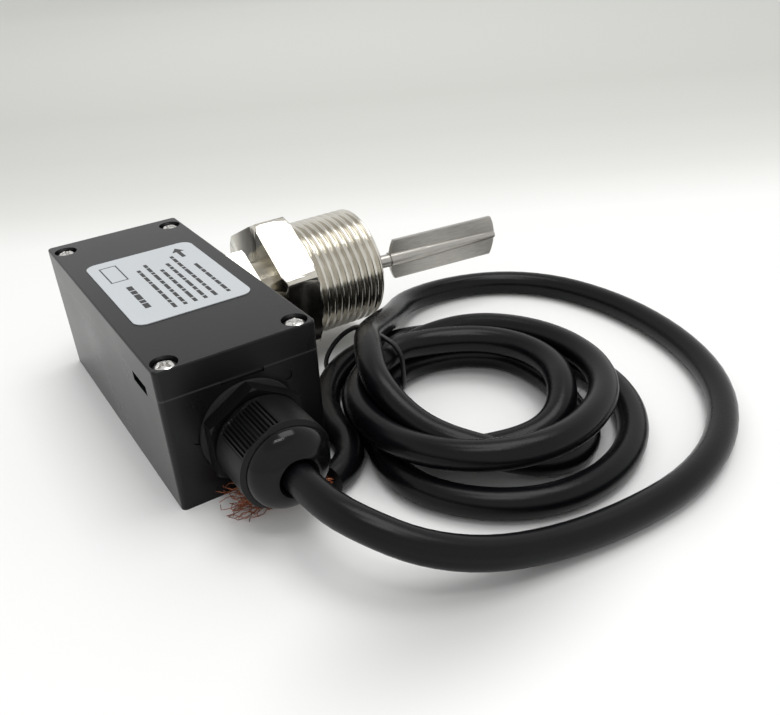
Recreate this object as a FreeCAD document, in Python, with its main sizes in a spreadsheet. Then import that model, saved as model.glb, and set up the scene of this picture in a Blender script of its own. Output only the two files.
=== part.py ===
import FreeCAD, Part
import math
import os
import re
import Sketcher

# Paddle flow switch, lying on the back of its housing.
# +Z goes up through the lid, the cable gland points along -Y and the pipe
# thread along +X. The origin is the centre of the housing's back face.

# Driving dimensions, in millimetres and degrees
SIZES = {
    # housing
    "housing_width": 38.5,
    "housing_length": 88.0,
    "base_height": 29.5,
    "lid_height": 7.0,
    "wall": 2.4,
    "corner_radius": 1.2,
    "lid_edge_radius": 0.5,
    "screw_inset": 3.8,
    "near_screw_inset": 3.2,
    "far_screw_inset": 6.1,
    "boss_radius": 3.2,
    "pilot_radius": 1.25,
    "pilot_depth": 11.0,
    "groove_inset": 0.5,
    "gasket_width": 0.9,
    "gasket_height": 0.8,
    # recesses moulded in the outside of the base
    "pry_length": 9.0,
    "pry_height": 2.4,
    "pry_depth": 1.0,
    "pry_inset": 8.0,
    "tab_length": 10.5,
    "tab_height": 1.1,
    "tab_depth": 0.5,
    "mark_radius": 1.3,
    "mark_depth": 0.35,
    "mark_inset": 8.6,
    "mark_drop": 4.2,
    "low_mark_inset": 6.8,
    "low_mark_drop": 12.4,
    # lid screws
    "seat_radius": 3.05,
    "seat_depth": 3.6,
    "head_radius": 2.7,
    "head_height": 1.9,
    "screw_radius": 1.2,
    "screw_length": 12.0,
    "screw_clearance": 0.4,
    "recess_length": 3.4,
    "recess_width": 0.75,
    "recess_depth": 1.2,
    "recess_clearance": 0.5,
    "head_round_share": 0.45,
    # label
    "label_width": 29.6,
    "label_length": 43.2,
    "label_thickness": 0.2,
    "label_corner": 3.0,
    # fitting with the pipe thread
    "fitting_offset": 8.9,
    "fitting_drop": 8.5,
    "stub_radius": 7.2,
    "stub_reach": 7.35,
    "stub_end_wall": 1.5,
    "hole_clearance": 0.25,
    "neck_radius": 9.0,
    "neck_length": 3.2,
    "head_overlap": 0.5,
    "shoulder_length": 1.0,
    "hexagon_flats": 36.0,
    "hexagon_length": 10.3,
    "hexagon_chamfer": 1.2,
    "thread_radius": 16.625,
    "thread_length": 22.7,
    "thread_chamfer": 1.0,
    "lever_bore": 5.4,
    "mouth_bore": 12.4,
    "mouth_depth": 26.0,
    "bore_taper": 5.0,
    "washer_thickness": 1.0,
    "washer_radius": 11.5,
    "neck_nut_flats": 24.0,
    "neck_nut_length": 5.4,
    "inner_nut_flats": 19.0,
    "inner_nut_length": 3.4,
    "nut_chamfer": 0.6,
    "thread_clearance": 0.03,
    # lever, in the frame of the pivot
    "pivot_inset": 4.75,
    "pin_radius": 1.0,
    "pin_clearance": 0.04,
    "pin_inset": 0.15,
    "lean_angle": 6.0,
    "hub_radius": 3.2,
    "hub_height": 7.2,
    "collar_radius": 3.0,
    "collar_length": 8.0,
    "rod_radius": 1.95,
    "rod_socket": 5.5,
    "arm_radius": 1.7,
    "arm_length": 9.0,
    "magnet_radius": 2.3,
    "magnet_length": 3.6,
    "rod_length": 54.0,
    "blade_start": 48.4,
    "blade_length": 34.6,
    "blade_height": 12.3,
    "blade_thickness": 1.2,
    "blade_bulge": 1.5,
    "ridge_radius": 2.35,
    "ridge_tip_radius": 1.25,
    # dry side of the mechanism
    "return_magnet_radius": 2.5,
    "return_magnet_length": 2.0,
    "return_magnet_offset": 3.5,
    "board_length": 46.0,
    "board_width": 26.0,
    "board_thickness": 1.6,
    "board_height": 5.6,
    "board_offset": 8.0,
    "post_radius": 2.4,
    "post_inset": 3.0,
    "board_screw_radius": 1.0,
    "board_head_radius": 1.9,
    "board_head_height": 1.2,
    "board_screw_grip": 2.6,
    "board_hole_clearance": 0.15,
    "reed_radius": 1.2,
    "reed_gap": 0.6,
    "reed_length": 14.0,
    "reed_lift": 0.5,
    "lead_radius": 0.3,
    "lead_length": 3.0,
    "leg_radius": 0.24,
    "terminal_width": 15.0,
    "terminal_depth": 9.0,
    "terminal_height": 10.0,
    "terminal_inset": 0.8,
    "terminal_hole": 1.6,
    "terminal_entry": 4.0,
    "terminal_hole_depth": 5.4,
    "terminal_screw_radius": 1.5,
    "terminal_screw_length": 4.0,
    "terminal_screw_drop": 0.6,
    "slot_width": 0.6,
    "slot_depth": 0.8,
    # cable gland, along its own axis from the housing's near face
    "gland_height": 15.5,
    "gland_thread_radius": 9.2,
    "gland_thread_length": 9.0,
    "gland_washer_radius": 12.2,
    "flange_corner": 12.7,
    "flange_length": 4.0,
    "gland_nut_length": 3.0,
    "cap_gap": 0.4,
    "cap_radius": 10.9,
    "cap_flats": 20.8,
    "flat_inset": 0.6,
    "cap_length": 13.6,
    "cap_chamfer": 0.5,
    "cap_edge": 0.4,
    "cap_edge_inset": 0.3,
    "cap_shoulder": 4.4,
    "cone_reach": 1.0,
    "lip_depth": 0.8,
    "lip_width": 0.5,
    "lip_round": 0.2,
    "dome_radius": 9.9,
    "dome_length": 4.5,
    "dome_curve": 7.0,
    "exit_radius": 4.5,
    "cap_thread_radius": 9.0,
    "cap_thread_length": 8.0,
    "seal_radius": 6.4,
    "seal_length": 8.0,
    "seal_seat": 4.0,
    "bore_radius": 4.1,
    "rib_count": 8,
    "rib_pitch": 6.6,
    "rib_depth": 0.5,
    "rib_width": 0.75,
    "rib_inset": 1.4,
    "rib_clearance": 0.4,
    # cable
    "cable_radius": 3.6,
    "cable_inside": 14.0,
    "cable_clearance": 0.15,
    "core_straight": 2.5,
    "core_settle": 2.0,
    "core_radius": 0.8,
    "core_spread": 1.7,
    "strand_radius": 0.55,
    # coil of the cable
    "coil_x": 58.0,
    "coil_y": -55.0,
    "coil_outer": 40.0,
    "coil_hole": 17.0,
    "upper_outer": 35.0,
    "upper_hole": 19.5,
    "tie_radius": 0.7,
    "tie_angle": 115.0,
    "tie_margin": 0.2,
}

# Places that follow from the sizes
PLACES = {
    "half_width": "housing_width / 2",
    "half_length": "housing_length / 2",
    "lid_top": "base_height + lid_height",
    "fitting_height": "base_height - fitting_drop",
    "inner_x": "half_width - wall",
    "inner_y": "half_length - wall",
    "screw_x": "half_width - screw_inset",
    "near_screw_y": "near_screw_inset - half_length",
    "far_screw_y": "half_length - far_screw_inset",
    "near_boss_y": "near_screw_y + boss_radius",
    "far_boss_y": "far_screw_y - boss_radius",
    "boss_x": "screw_x - boss_radius",
    "head_seat": "lid_top - seat_depth",
    # along the fitting, from the housing's middle plane
    "stub_end": "half_width - wall - stub_reach",
    "nut_start": "half_width + washer_thickness",
    "neck_start": "nut_start + neck_nut_length",
    "hexagon_start": "neck_start + neck_length",
    "thread_start": "hexagon_start + hexagon_length",
    "thread_end": "thread_start + thread_length",
    "hexagon_corner": "hexagon_flats / 2 / cos(30)",
    "mouth_start": "thread_end - mouth_depth",
    "pivot_x": "half_width + pivot_inset",
    "pin_length": "2 * (stub_radius - pin_inset)",
    # along the gland, from the near face
    "flange_start": "washer_thickness",
    "flange_end": "flange_start + flange_length",
    "cap_start": "flange_end + cap_gap",
    "cap_end": "cap_start + cap_length",
    "dome_end": "cap_end + dome_length",
    "seal_start": "flange_end + cap_thread_length - seal_seat",
    # dry side
    "board_top": "board_height + board_thickness",
    "reed_z": "board_top + reed_lift + reed_radius",
    "reed_x": "stub_end - reed_gap - reed_radius",
    "terminal_y": "board_offset - board_length / 2 + terminal_inset",
    "terminal_top": "board_top + terminal_height",
    "terminal_entry_z": "board_top + terminal_entry",
    # coil
    "cable_size": "2 * cable_radius",
    "tie_gap": "tie_radius + tie_margin",
}

# Route of the loose cable from the gland to the top of the coil
LEAD_ROUTE = [
    (0.0, -77.0, 15.5),
    (3.8, -86.5, 14.3),
    (11.0, -95.0, 11.0),
    (22.5, -100.5, 7.2),
    (37.0, -103.6, 4.5),
    (54.0, -105.8, 3.6),
    (74.0, -105.8, 3.6),
    (93.0, -99.8, 3.6),
    (109.5, -87.5, 3.6),
    (121.0, -70.0, 3.6),
    (126.8, -49.0, 3.6),
    (126.8, -29.0, 3.6),
    (121.5, -11.5, 3.6),
    (109.5, 1.0, 3.6),
    (93.0, 6.9, 3.8),
    (79.0, 1.0, 3.9),
    (67.5, -7.0, 5.5),
    (58.5, -14.0, 10.5),
    (51.5, -20.5, 16.0),
    (46.0, -28.0, 18.1),
    (41.5, -38.0, 17.4),
    (38.0, -48.5, 13.5),
    (37.5, -59.0, 9.5),
]

# Route of the cable's free end, out of the coil and towards the gland
TAIL_ROUTE = [
    (31.0, -33.0, 3.6),
    (25.6, -43.6, 3.6),
    (19.6, -52.4, 3.6),
    (11.8, -57.0, 3.6),
]

# Bare wires from the cable's cut end, under the gland, one route each
STRAND_ROUTES = [
    [(11.8, -57.0, 4.7), (3.0, -57.5, 3.0), (-5.0, -53.0, 1.2), (-9.5, -49.0, 0.65)],
    [(11.8, -57.0, 3.1), (4.0, -55.5, 1.6), (-3.0, -51.5, 0.7), (-6.5, -47.5, 0.65)],
    [(11.8, -57.0, 1.6), (5.0, -58.5, 0.9), (-1.5, -56.5, 0.65), (-5.5, -53.5, 0.65)],
]


doc = FreeCAD.newDocument("FlowSwitch")
sheet = doc.addObject("Spreadsheet::Sheet", "Sizes")
for row, (alias, number) in enumerate(SIZES.items(), start=1):
    sheet.set(f"A{row}", alias)
    sheet.set(f"B{row}", str(number))
    sheet.setAlias(f"B{row}", alias)
doc.recompute()

PARTS = []


def bound(formula):
    """A formula of size and place names, as an expression on the sheet."""

    def swap(match):
        word = match.group(0)
        if word in PLACES:
            return f"({bound(PLACES[word])})"
        if word in SIZES:
            return f"Sizes.{word}"
        return word

    return re.sub(r"[a-z]+(?:_[a-z]+)*", swap, str(formula))


def size(formula):
    """The number that a formula stands for."""
    return float(sheet.evalExpression(bound(formula)))


def new_part(node):
    """A body for one piece, which its label names."""
    body = doc.addObject("PartDesign::Body", node)
    body.Label = node
    PARTS.append(body)
    return body


def place(piece, across="0", along="0", up="0", turn=None):
    """Ties a piece's place, and its turn about Z, to the sheet."""
    if turn is not None:
        piece.setExpression("Placement.Rotation.Angle", bound(f"360 + {turn}"))
    piece.setExpression("Placement.Base.x", bound(across))
    piece.setExpression("Placement.Base.y", bound(along))
    piece.setExpression("Placement.Base.z", bound(up))


def in_fitting(piece):
    place(piece, "0", "fitting_offset", "fitting_height")


def in_lever(piece):
    place(piece, "pivot_x", "fitting_offset", "fitting_height", "-lean_angle")


def in_gland(piece):
    place(piece, "0", "-half_length", "gland_height", "-90")


def new_sketch(body, name, role, offset="0"):
    """A sketch on one of the body's own planes, moved along its normal."""
    sketch = body.newObject("Sketcher::SketchObject", name)
    base_plane = next(f for f in body.Origin.OriginFeatures if f.Role == role)
    sketch.AttachmentSupport = [(base_plane, "")]
    sketch.MapMode = "FlatFace"
    sketch.setExpression("AttachmentOffset.Base.z", bound(offset))
    return sketch


def tie_point(sketch, geometry, end, across, up):
    """Fixes a point of the sketch by two formulas."""
    for kind, formula in (("DistanceX", across), ("DistanceY", up)):
        index = sketch.addConstraint(
            Sketcher.Constraint(kind, geometry, end, size(formula))
        )
        sketch.setExpression(f"Constraints[{index}]", bound(formula))


def outline(sketch, corners, curves=None):
    """A closed outline through the corners; curves gives arc radii by side."""
    curves = curves or {}
    first = sketch.GeometryCount
    points = [FreeCAD.Vector(size(u), size(v), 0) for u, v in corners]
    ends = []
    for side, (start, stop) in enumerate(zip(points, points[1:] + points[:1])):
        if side in curves:
            chord = stop - start
            radius = size(curves[side])
            sagitta = radius - math.sqrt(radius**2 - (chord.Length / 2) ** 2)
            outward = FreeCAD.Vector(chord.y, -chord.x, 0).normalize()
            middle = (start + stop) * 0.5 + outward * sagitta
            sketch.addGeometry(Part.Arc(start, middle, stop), False)
            same_way = sketch.Geometry[first + side].StartPoint.isEqual(start, 1e-6)
            ends.append((1, 2) if same_way else (2, 1))
        else:
            sketch.addGeometry(Part.LineSegment(start, stop), False)
            ends.append((1, 2))
    count = len(points)
    for side in range(count):
        after = (side + 1) % count
        sketch.addConstraint(
            Sketcher.Constraint(
                "Coincident", first + side, ends[side][1], first + after, ends[after][0]
            )
        )
    for side, (across, up) in enumerate(corners):
        tie_point(sketch, first + side, ends[side][0], across, up)
    for side, radius in curves.items():
        index = sketch.addConstraint(
            Sketcher.Constraint("Radius", first + side, size(radius))
        )
        sketch.setExpression(f"Constraints[{index}]", bound(radius))


def circle(sketch, across, up, radius):
    """A circle whose centre and radius follow the sheet."""
    centre = FreeCAD.Vector(size(across), size(up), 0)
    geometry = sketch.addGeometry(
        Part.Circle(centre, FreeCAD.Vector(0, 0, 1), size(radius)), False
    )
    tie_point(sketch, geometry, 3, across, up)
    index = sketch.addConstraint(Sketcher.Constraint("Radius", geometry, size(radius)))
    sketch.setExpression(f"Constraints[{index}]", bound(radius))


def rectangle(sketch, left, low, right, high):
    outline(sketch, [(left, low), (right, low), (right, high), (left, high)])


def hexagon(sketch, corner, first_angle=30):
    """A hexagon about the origin, given by the radius of its corners."""
    angles = [first_angle + 60 * step for step in range(6)]
    outline(
        sketch, [(f"({corner}) * cos({a})", f"({corner}) * sin({a})") for a in angles]
    )


def pad(body, sketch, length, reverse=False, both=False):
    feature = body.newObject("PartDesign::Pad", f"{sketch.Name}_pad")
    feature.Profile = sketch
    feature.setExpression("Length", bound(length))
    feature.Reversed = reverse
    feature.Midplane = both
    sketch.Visibility = False
    doc.recompute()
    return feature


def checked_cut(body, feature):
    """Makes sure that a cutting feature takes material away."""
    before = feature.BaseFeature.Shape.Volume
    doc.recompute()
    if not feature.Shape.Volume < before - 1e-4:
        raise RuntimeError(f"{feature.Name} in {body.Label} cuts nothing")
    return feature


def pocket(body, sketch, depth, reverse=False, both=False):
    feature = body.newObject("PartDesign::Pocket", f"{sketch.Name}_pocket")
    feature.Profile = sketch
    feature.setExpression("Length", bound(depth))
    feature.Reversed = reverse
    feature.Midplane = both
    return checked_cut(body, feature)


def turned(body, sketch):
    """Revolves a profile of lengths along X and radii about the X axis."""
    feature = body.newObject("PartDesign::Revolution", f"{sketch.Name}_turned")
    feature.Profile = sketch
    feature.ReferenceAxis = (sketch, ["H_Axis"])
    feature.Angle = 360.0
    doc.recompute()
    return feature


def turned_cut(body, sketch):
    feature = body.newObject("PartDesign::Groove", f"{sketch.Name}_groove")
    feature.Profile = sketch
    feature.ReferenceAxis = (sketch, ["H_Axis"])
    feature.Angle = 360.0
    return checked_cut(body, feature)


def round_edges(body, feature, radius, wanted):
    """Rounds the edges of a feature that a test picks."""
    names = [
        f"Edge{number}"
        for number, edge in enumerate(feature.Shape.Edges, start=1)
        if wanted(edge)
    ]
    fillet = body.newObject("PartDesign::Fillet", f"{feature.Name}_round")
    fillet.Base = (feature, names)
    fillet.setExpression("Radius", bound(radius))
    doc.recompute()
    return fillet


def is_upright(edge):
    ends = edge.Vertexes[0].Point - edge.Vertexes[-1].Point
    return ends.Length > 1e-6 and abs(ends.z) > 0.999 * ends.Length


def lies_at(edge, height):
    box = edge.BoundBox
    return abs(box.ZMin - height) < 1e-6 and abs(box.ZMax - height) < 1e-6


def chamfer_corners(body, name, corner, start, stop, depth):
    """Turns the corners of a hexagon down at both of its end faces."""
    beyond = f"({corner}) + 1"
    rise = f"((({depth}) + 1) * tan(30))"
    face = f"({corner}) - ({depth})"
    near = new_sketch(body, f"{name}_near", "XY_Plane")
    outline(near, [(start, face), (f"{start} + {rise}", beyond), (start, beyond)])
    turned_cut(body, near)
    far = new_sketch(body, f"{name}_far", "XY_Plane")
    outline(far, [(stop, face), (stop, beyond), (f"{stop} - {rise}", beyond)])
    turned_cut(body, far)


def feature_part(node, shape):
    """A piece whose shape is made with Part's own functions."""
    piece = doc.addObject("Part::Feature", node)
    piece.Label = node
    piece.Shape = shape
    PARTS.append(piece)
    return piece


def cavity_outline():
    """The inside of the housing, stepped in around the four screw bosses."""
    return [
        ("-boss_x", "-inner_y"),
        ("boss_x", "-inner_y"),
        ("boss_x", "near_boss_y"),
        ("inner_x", "near_boss_y"),
        ("inner_x", "far_boss_y"),
        ("boss_x", "far_boss_y"),
        ("boss_x", "inner_y"),
        ("-boss_x", "inner_y"),
        ("-boss_x", "far_boss_y"),
        ("-inner_x", "far_boss_y"),
        ("-inner_x", "near_boss_y"),
        ("-boss_x", "near_boss_y"),
    ]


SCREW_PLACES = [
    ("screw_x", "near_screw_y"),
    ("-screw_x", "near_screw_y"),
    ("screw_x", "far_screw_y"),
    ("-screw_x", "far_screw_y"),
]

BOARD_POSTS = [
    (
        f"{side} * (board_width / 2 - post_inset)",
        f"board_offset + {end} * (board_length / 2 - post_inset)",
    )
    for side in (-1, 1)
    for end in (-1, 1)
]


def make_housing_base():
    body = new_part("housing_base")
    block = new_sketch(body, "base_block", "XY_Plane")
    rectangle(block, "-half_width", "-half_length", "half_width", "half_length")
    solid = pad(body, block, "base_height")
    round_edges(body, solid, "corner_radius", is_upright)
    cavity = new_sketch(body, "base_cavity", "XY_Plane", "base_height")
    outline(cavity, cavity_outline())
    pocket(body, cavity, "base_height - wall")
    pilots = new_sketch(body, "base_pilots", "XY_Plane", "base_height")
    for across, along in SCREW_PLACES:
        circle(pilots, across, along, "pilot_radius")
    pocket(body, pilots, "pilot_depth")
    posts = new_sketch(body, "base_posts", "XY_Plane", "wall")
    for across, along in BOARD_POSTS:
        circle(posts, across, along, "post_radius")
    pad(body, posts, "board_height - wall")
    taps = new_sketch(body, "base_taps", "XY_Plane", "board_height")
    for across, along in BOARD_POSTS:
        circle(taps, across, along, "board_screw_radius")
    pocket(body, taps, "board_height - wall")
    groove = new_sketch(body, "base_groove", "XY_Plane", "base_height")
    for inset in ("groove_inset", "(groove_inset + gasket_width)"):
        edge_x = f"(half_width - {inset})"
        edge_y = f"(half_length - {inset})"
        rectangle(groove, f"-{edge_x}", f"-{edge_y}", edge_x, edge_y)
    pocket(body, groove, "gasket_height")
    side_hole = new_sketch(body, "base_side_hole", "YZ_Plane", "half_width")
    circle(side_hole, "fitting_offset", "fitting_height", "stub_radius + hole_clearance")
    pocket(body, side_hole, "wall")
    end_hole = new_sketch(body, "base_end_hole", "XZ_Plane", "half_length")
    circle(end_hole, "0", "gland_height", "gland_thread_radius + hole_clearance")
    pocket(body, end_hole, "wall")
    pry = new_sketch(body, "base_pry", "YZ_Plane", "-half_width")
    pry_low = "base_height - pry_height"
    pry_start = "pry_inset - half_length"
    rectangle(pry, pry_start, pry_low, f"{pry_start} + pry_length", "base_height")
    pocket(body, pry, "pry_depth", reverse=True)
    tab = new_sketch(body, "base_tab", "XZ_Plane", "half_length")
    tab_low = "base_height - tab_height"
    rectangle(tab, "-tab_length / 2", tab_low, "tab_length / 2", "base_height")
    pocket(body, tab, "tab_depth")
    marks = new_sketch(body, "base_marks", "XZ_Plane", "half_length")
    circle(marks, "half_width - mark_inset", "base_height - mark_drop", "mark_radius")
    low_mark = "low_mark_inset - half_width"
    circle(marks, low_mark, "base_height - low_mark_drop", "mark_radius")
    pocket(body, marks, "mark_depth")


def make_housing_lid():
    body = new_part("housing_lid")
    block = new_sketch(body, "lid_block", "XY_Plane", "base_height")
    rectangle(block, "-half_width", "-half_length", "half_width", "half_length")
    solid = pad(body, block, "lid_height")
    corners = round_edges(body, solid, "corner_radius", is_upright)
    top = size("lid_top")
    round_edges(body, corners, "lid_edge_radius", lambda edge: lies_at(edge, top))
    cavity = new_sketch(body, "lid_cavity", "XY_Plane", "base_height")
    outline(cavity, cavity_outline())
    pocket(body, cavity, "lid_height - wall", reverse=True)
    seats = new_sketch(body, "lid_seats", "XY_Plane", "lid_top")
    for across, along in SCREW_PLACES:
        circle(seats, across, along, "seat_radius")
    pocket(body, seats, "seat_depth")
    holes = new_sketch(body, "lid_holes", "XY_Plane", "lid_top")
    for across, along in SCREW_PLACES:
        circle(holes, across, along, "screw_radius + screw_clearance")
    pocket(body, holes, "lid_height")


def make_gasket():
    body = new_part("lid_gasket")
    ring = new_sketch(body, "gasket_ring", "XY_Plane", "base_height - gasket_height")
    for inset in ("groove_inset", "(groove_inset + gasket_width)"):
        edge_x = f"(half_width - {inset})"
        edge_y = f"(half_length - {inset})"
        rectangle(ring, f"-{edge_x}", f"-{edge_y}", edge_x, edge_y)
    pad(body, ring, "gasket_height")


def make_label():
    body = new_part("label_plate")
    sheet_outline = new_sketch(body, "label_outline", "XY_Plane", "lid_top")
    rectangle(
        sheet_outline,
        "-label_width / 2",
        "-label_length / 2",
        "label_width / 2",
        "label_length / 2",
    )
    solid = pad(body, sheet_outline, "label_thickness")
    round_edges(body, solid, "label_corner", is_upright)


def cross_recess(centre, top, length, width, depth):
    """The crossed slots of a screw's recess."""
    slots = []
    for long_side, short_side in ((length, width), (width, length)):
        corner = centre + FreeCAD.Vector(-long_side / 2, -short_side / 2, top - depth)
        high = depth + size("recess_clearance")
        slots.append(Part.makeBox(long_side, short_side, high, corner))
    return slots[0].fuse(slots[1])


def screw_solid(across, along, seat, head, height, shank, length):
    """A screw that points down from its seat, with a domed head."""
    foot = FreeCAD.Vector(across, along, seat - length)
    body = Part.makeCylinder(shank, length, foot)
    base = FreeCAD.Vector(across, along, seat)
    cap = Part.makeCylinder(head, height, base)
    rim = [e for e in cap.Edges if abs(e.BoundBox.ZMin - seat - height) < 1e-6]
    rim = [e for e in rim if e.BoundBox.ZLength < 1e-6]
    cap = cap.makeFillet(size("head_round_share") * height, rim)
    slots = cross_recess(
        FreeCAD.Vector(across, along, 0),
        seat + height,
        size("recess_length") * head / size("head_radius"),
        size("recess_width") * head / size("head_radius"),
        size("recess_depth") * height / size("head_height"),
    )
    return body.fuse(cap).removeSplitter().cut(slots)


def make_lid_screws():
    seat = size("head_seat")
    solids = [
        screw_solid(
            size(across),
            size(along),
            seat,
            size("head_radius"),
            size("head_height"),
            size("screw_radius"),
            size("screw_length"),
        )
        for across, along in SCREW_PLACES
    ]
    feature_part("lid_screws", Part.makeCompound(solids))


def make_fitting():
    body = new_part("fitting_body")
    profile = new_sketch(body, "fitting_profile", "XY_Plane")
    outline(
        profile,
        [
            ("stub_end", "0"),
            ("stub_end + stub_end_wall", "0"),
            ("stub_end + stub_end_wall", "lever_bore"),
            ("mouth_start", "lever_bore"),
            ("mouth_start + bore_taper", "mouth_bore"),
            ("thread_end", "mouth_bore"),
            ("thread_end", "thread_radius - thread_chamfer"),
            ("thread_end - thread_chamfer", "thread_radius"),
            ("thread_start - shoulder_length", "thread_radius"),
            ("hexagon_start", "neck_radius"),
            ("neck_start", "neck_radius"),
            ("neck_start", "stub_radius"),
            ("stub_end", "stub_radius"),
        ],
    )
    turned(body, profile)
    head = new_sketch(body, "fitting_hexagon", "YZ_Plane", "hexagon_start")
    hexagon(head, "hexagon_corner", 34)
    circle(head, "0", "0", "neck_radius - head_overlap")
    pad(body, head, "hexagon_length")
    chamfer_corners(
        body,
        "fitting_chamfer",
        "hexagon_corner",
        "hexagon_start",
        "thread_start",
        "hexagon_chamfer",
    )
    pin_hole = new_sketch(body, "fitting_pin_hole", "XY_Plane")
    circle(pin_hole, "pivot_x", "0", "pin_radius")
    pocket(body, pin_hole, "4 * stub_radius", both=True)
    in_fitting(body)


def make_nut(node, start, length, flats, bore, frame, first_angle=30):
    body = new_part(node)
    head = new_sketch(body, f"{node}_hexagon", "YZ_Plane", start)
    corner = f"({flats} / 2 / cos(30))"
    hexagon(head, corner, first_angle)
    circle(head, "0", "0", bore)
    pad(body, head, length)
    stop = f"{start} + {length}"
    chamfer_corners(body, f"{node}_chamfer", corner, start, stop, "nut_chamfer")
    frame(body)


def make_ring(node, start, length, outer, inner, frame):
    body = new_part(node)
    ring = new_sketch(body, f"{node}_ring", "YZ_Plane", start)
    circle(ring, "0", "0", outer)
    circle(ring, "0", "0", inner)
    pad(body, ring, length)
    frame(body)


def make_fitting_hardware():
    stub_hole = "stub_radius + thread_clearance"
    make_ring(
        "neck_washer", "half_width", "washer_thickness", "washer_radius", stub_hole,
        in_fitting,
    )
    make_nut(
        "neck_nut", "nut_start", "neck_nut_length", "neck_nut_flats", stub_hole, in_fitting
    )
    make_nut(
        "inner_locknut",
        "inner_x - inner_nut_length",
        "inner_nut_length",
        "inner_nut_flats",
        stub_hole,
        in_fitting,
    )
    pin = new_part("pivot_pin")
    section = new_sketch(pin, "pin_section", "XY_Plane")
    circle(section, "pivot_x", "0", "pin_radius")
    pad(pin, section, "pin_length", both=True)
    in_fitting(pin)


def make_lever():
    hub = new_part("lever_hub")
    barrel = new_sketch(hub, "hub_barrel", "XY_Plane")
    circle(barrel, "0", "0", "hub_radius")
    pad(hub, barrel, "hub_height", both=True)
    shaft = new_sketch(hub, "hub_shaft", "XY_Plane")
    outline(
        shaft,
        [
            ("-arm_length", "0"),
            ("collar_length - rod_socket", "0"),
            ("collar_length - rod_socket", "rod_radius"),
            ("collar_length", "rod_radius"),
            ("collar_length", "collar_radius"),
            ("0.5 * hub_radius", "collar_radius"),
            ("-0.5 * hub_radius", "arm_radius"),
            ("-arm_length", "arm_radius"),
        ],
    )
    turned(hub, shaft)
    bore = new_sketch(hub, "hub_bore", "XY_Plane")
    circle(bore, "0", "0", "pin_radius + pin_clearance")
    pocket(hub, bore, "2 * hub_height", both=True)
    socket = new_sketch(hub, "hub_socket", "YZ_Plane", "collar_length")
    circle(socket, "0", "0", "rod_radius")
    pocket(hub, socket, "rod_socket")
    in_lever(hub)

    magnet = new_part("lever_magnet")
    disc = new_sketch(magnet, "magnet_disc", "YZ_Plane", "-arm_length")
    circle(disc, "0", "0", "magnet_radius")
    pad(magnet, disc, "magnet_length", reverse=True)
    in_lever(magnet)

    rod = new_part("paddle_rod")
    section = new_sketch(rod, "rod_section", "YZ_Plane", "collar_length - rod_socket")
    circle(section, "0", "0", "rod_radius")
    pad(rod, section, "rod_length")
    in_lever(rod)

    blade = new_part("paddle_blade")
    plate = new_sketch(blade, "blade_outline", "XZ_Plane")
    blade_stop = "(blade_start + blade_length)"
    curve = "(blade_height^2 / 8 / blade_bulge + blade_bulge / 2)"
    half = "blade_height / 2"
    outline(
        plate,
        [
            ("blade_start", f"-{half}"),
            (blade_stop, f"-{half}"),
            (blade_stop, half),
            ("blade_start", half),
        ],
        {1: curve, 3: curve},
    )
    pad(blade, plate, "blade_thickness", both=True)
    ridge = new_sketch(blade, "blade_ridge", "XY_Plane")
    ridge_start = "(blade_start - blade_bulge)"
    ridge_stop = "(blade_start + blade_length + blade_bulge)"
    outline(
        ridge,
        [
            (ridge_start, "0"),
            (ridge_stop, "0"),
            (ridge_stop, "ridge_tip_radius"),
            (ridge_start, "ridge_radius"),
        ],
    )
    turned(blade, ridge)
    bore = new_sketch(blade, "blade_bore", "YZ_Plane", ridge_start)
    circle(bore, "0", "0", "rod_radius")
    rod_stop = "collar_length - rod_socket + rod_length"
    pocket(blade, bore, f"{rod_stop} - {ridge_start}", reverse=True)
    in_lever(blade)


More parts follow.
